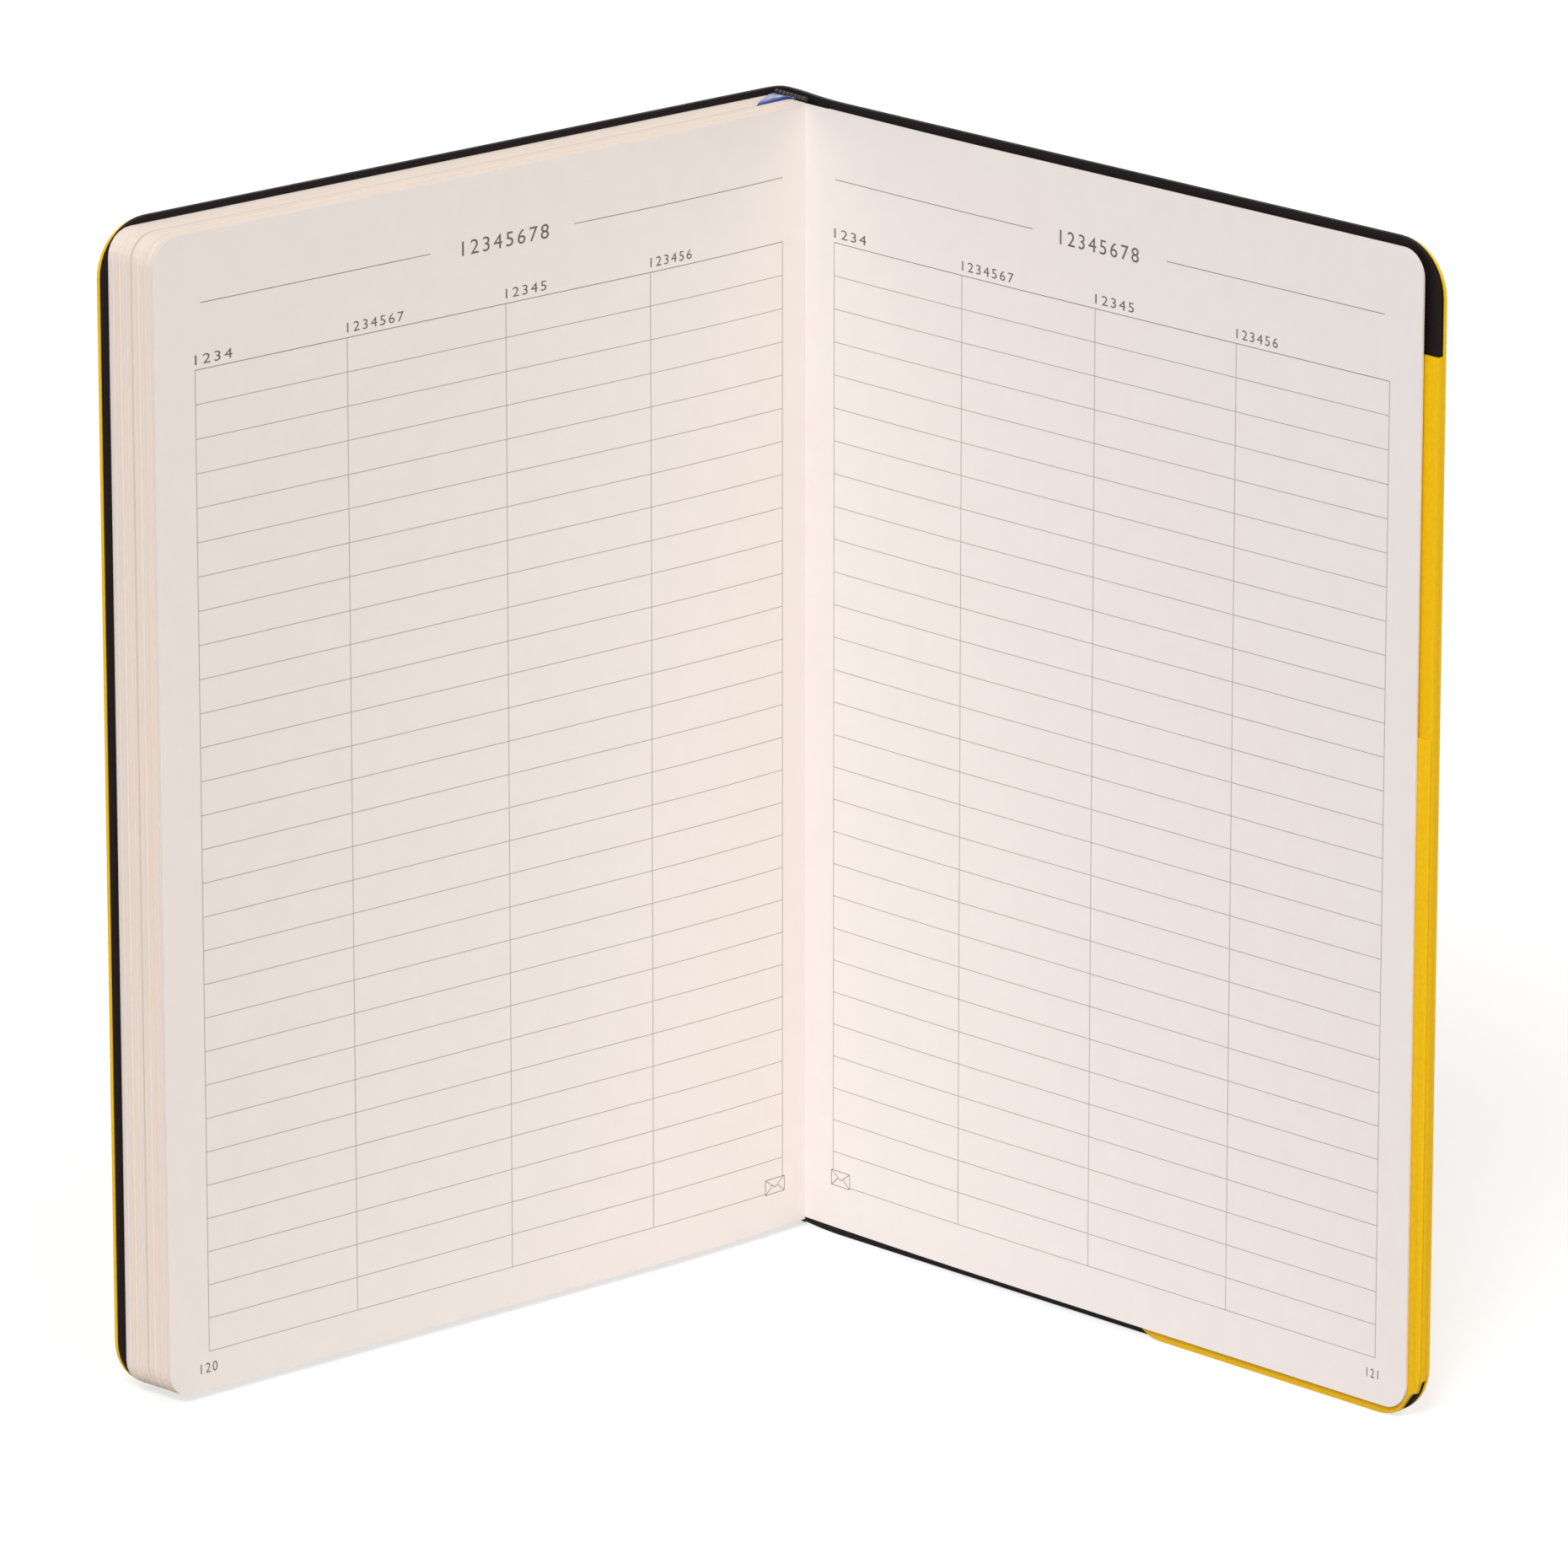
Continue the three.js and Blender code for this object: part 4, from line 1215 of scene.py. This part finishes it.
world = bpy.data.worlds.new("studio")
bpy.context.scene.world = world
world.use_nodes = True
tree = world.node_tree
strength = add_node(tree, "ShaderNodeMath", {
    0: seen_directly(tree), 1: 1.0 - ambient, 2: ambient,
}, operation="MULTIPLY_ADD")
backdrop = tree.nodes["Background"]
backdrop.inputs["Color"].default_value = (1.0, 1.0, 1.0, 1.0)
tree.links.new(strength.outputs[0], backdrop.inputs["Strength"])
print("ambient light:", ambient, "of white")

# %% [markdown]
# Two very soft lights stand in for the studio's large boxes at the left and the right of the camera. They
# light the two pages about equally and from the front, so the pages light each other into the gutter. The
# left one is the stronger, a little cooler and higher, and throws the faint shadow to the right. A third one
# lights the cover from behind. They are as far away as suns, so the floor is lit evenly.

# %% Lights


def soft_light(name, azimuth, elevation, spread, strength, colour):
    """azimuth is counted from the camera's side towards the right, in degrees."""
    light = bpy.data.lights.new(name, "SUN")
    light.energy = strength
    light.angle = math.radians(spread)
    light.color = linear(colour)[:3]
    holder = bpy.data.objects.new(name, light)
    bpy.context.scene.collection.objects.link(holder)
    around, above = math.radians(azimuth), math.radians(elevation)
    level = math.cos(above)
    holder.location = (math.sin(around) * level, -math.cos(around) * level, math.sin(above))
    holder.rotation_euler = (-holder.location).to_track_quat("-Z", "Y").to_euler()


soft_light("soft_light_left", -12, 45, 20, 2.69, "#f4f6ff")
soft_light("soft_light_right", 32, 30, 50, 0.57, "#fff5e1")
soft_light("soft_light_behind", 172, 15, 60, 1.5, "#fffefc")

# %% [markdown]
# The camera looks down at about 17 degrees with a long lens. Its place and its angle were worked out from
# the photograph: from the slopes of the page edges, the rows of the table and the upright edges.

# %% Camera
photo_width = 1860
focal_length_in_pixels = 14514.7
looking_down, turned_left = 17.1223, 0.5358
camera_data = bpy.data.cameras.new("camera")
camera_data.sensor_width = 36.0
camera_data.lens = focal_length_in_pixels / photo_width * camera_data.sensor_width
camera_data.clip_start = 0.1
camera_data.clip_end = 50.0
camera = bpy.data.objects.new("camera", camera_data)
bpy.context.scene.collection.objects.link(camera)
camera.location = (0.024070, -2.335048, 0.831612)
camera.rotation_euler = (math.radians(90 - looking_down), 0.0, math.radians(turned_left))
bpy.context.scene.camera = camera
bpy.context.scene.view_settings.view_transform = "Standard"
print("lens in mm:", round(camera_data.lens, 1))
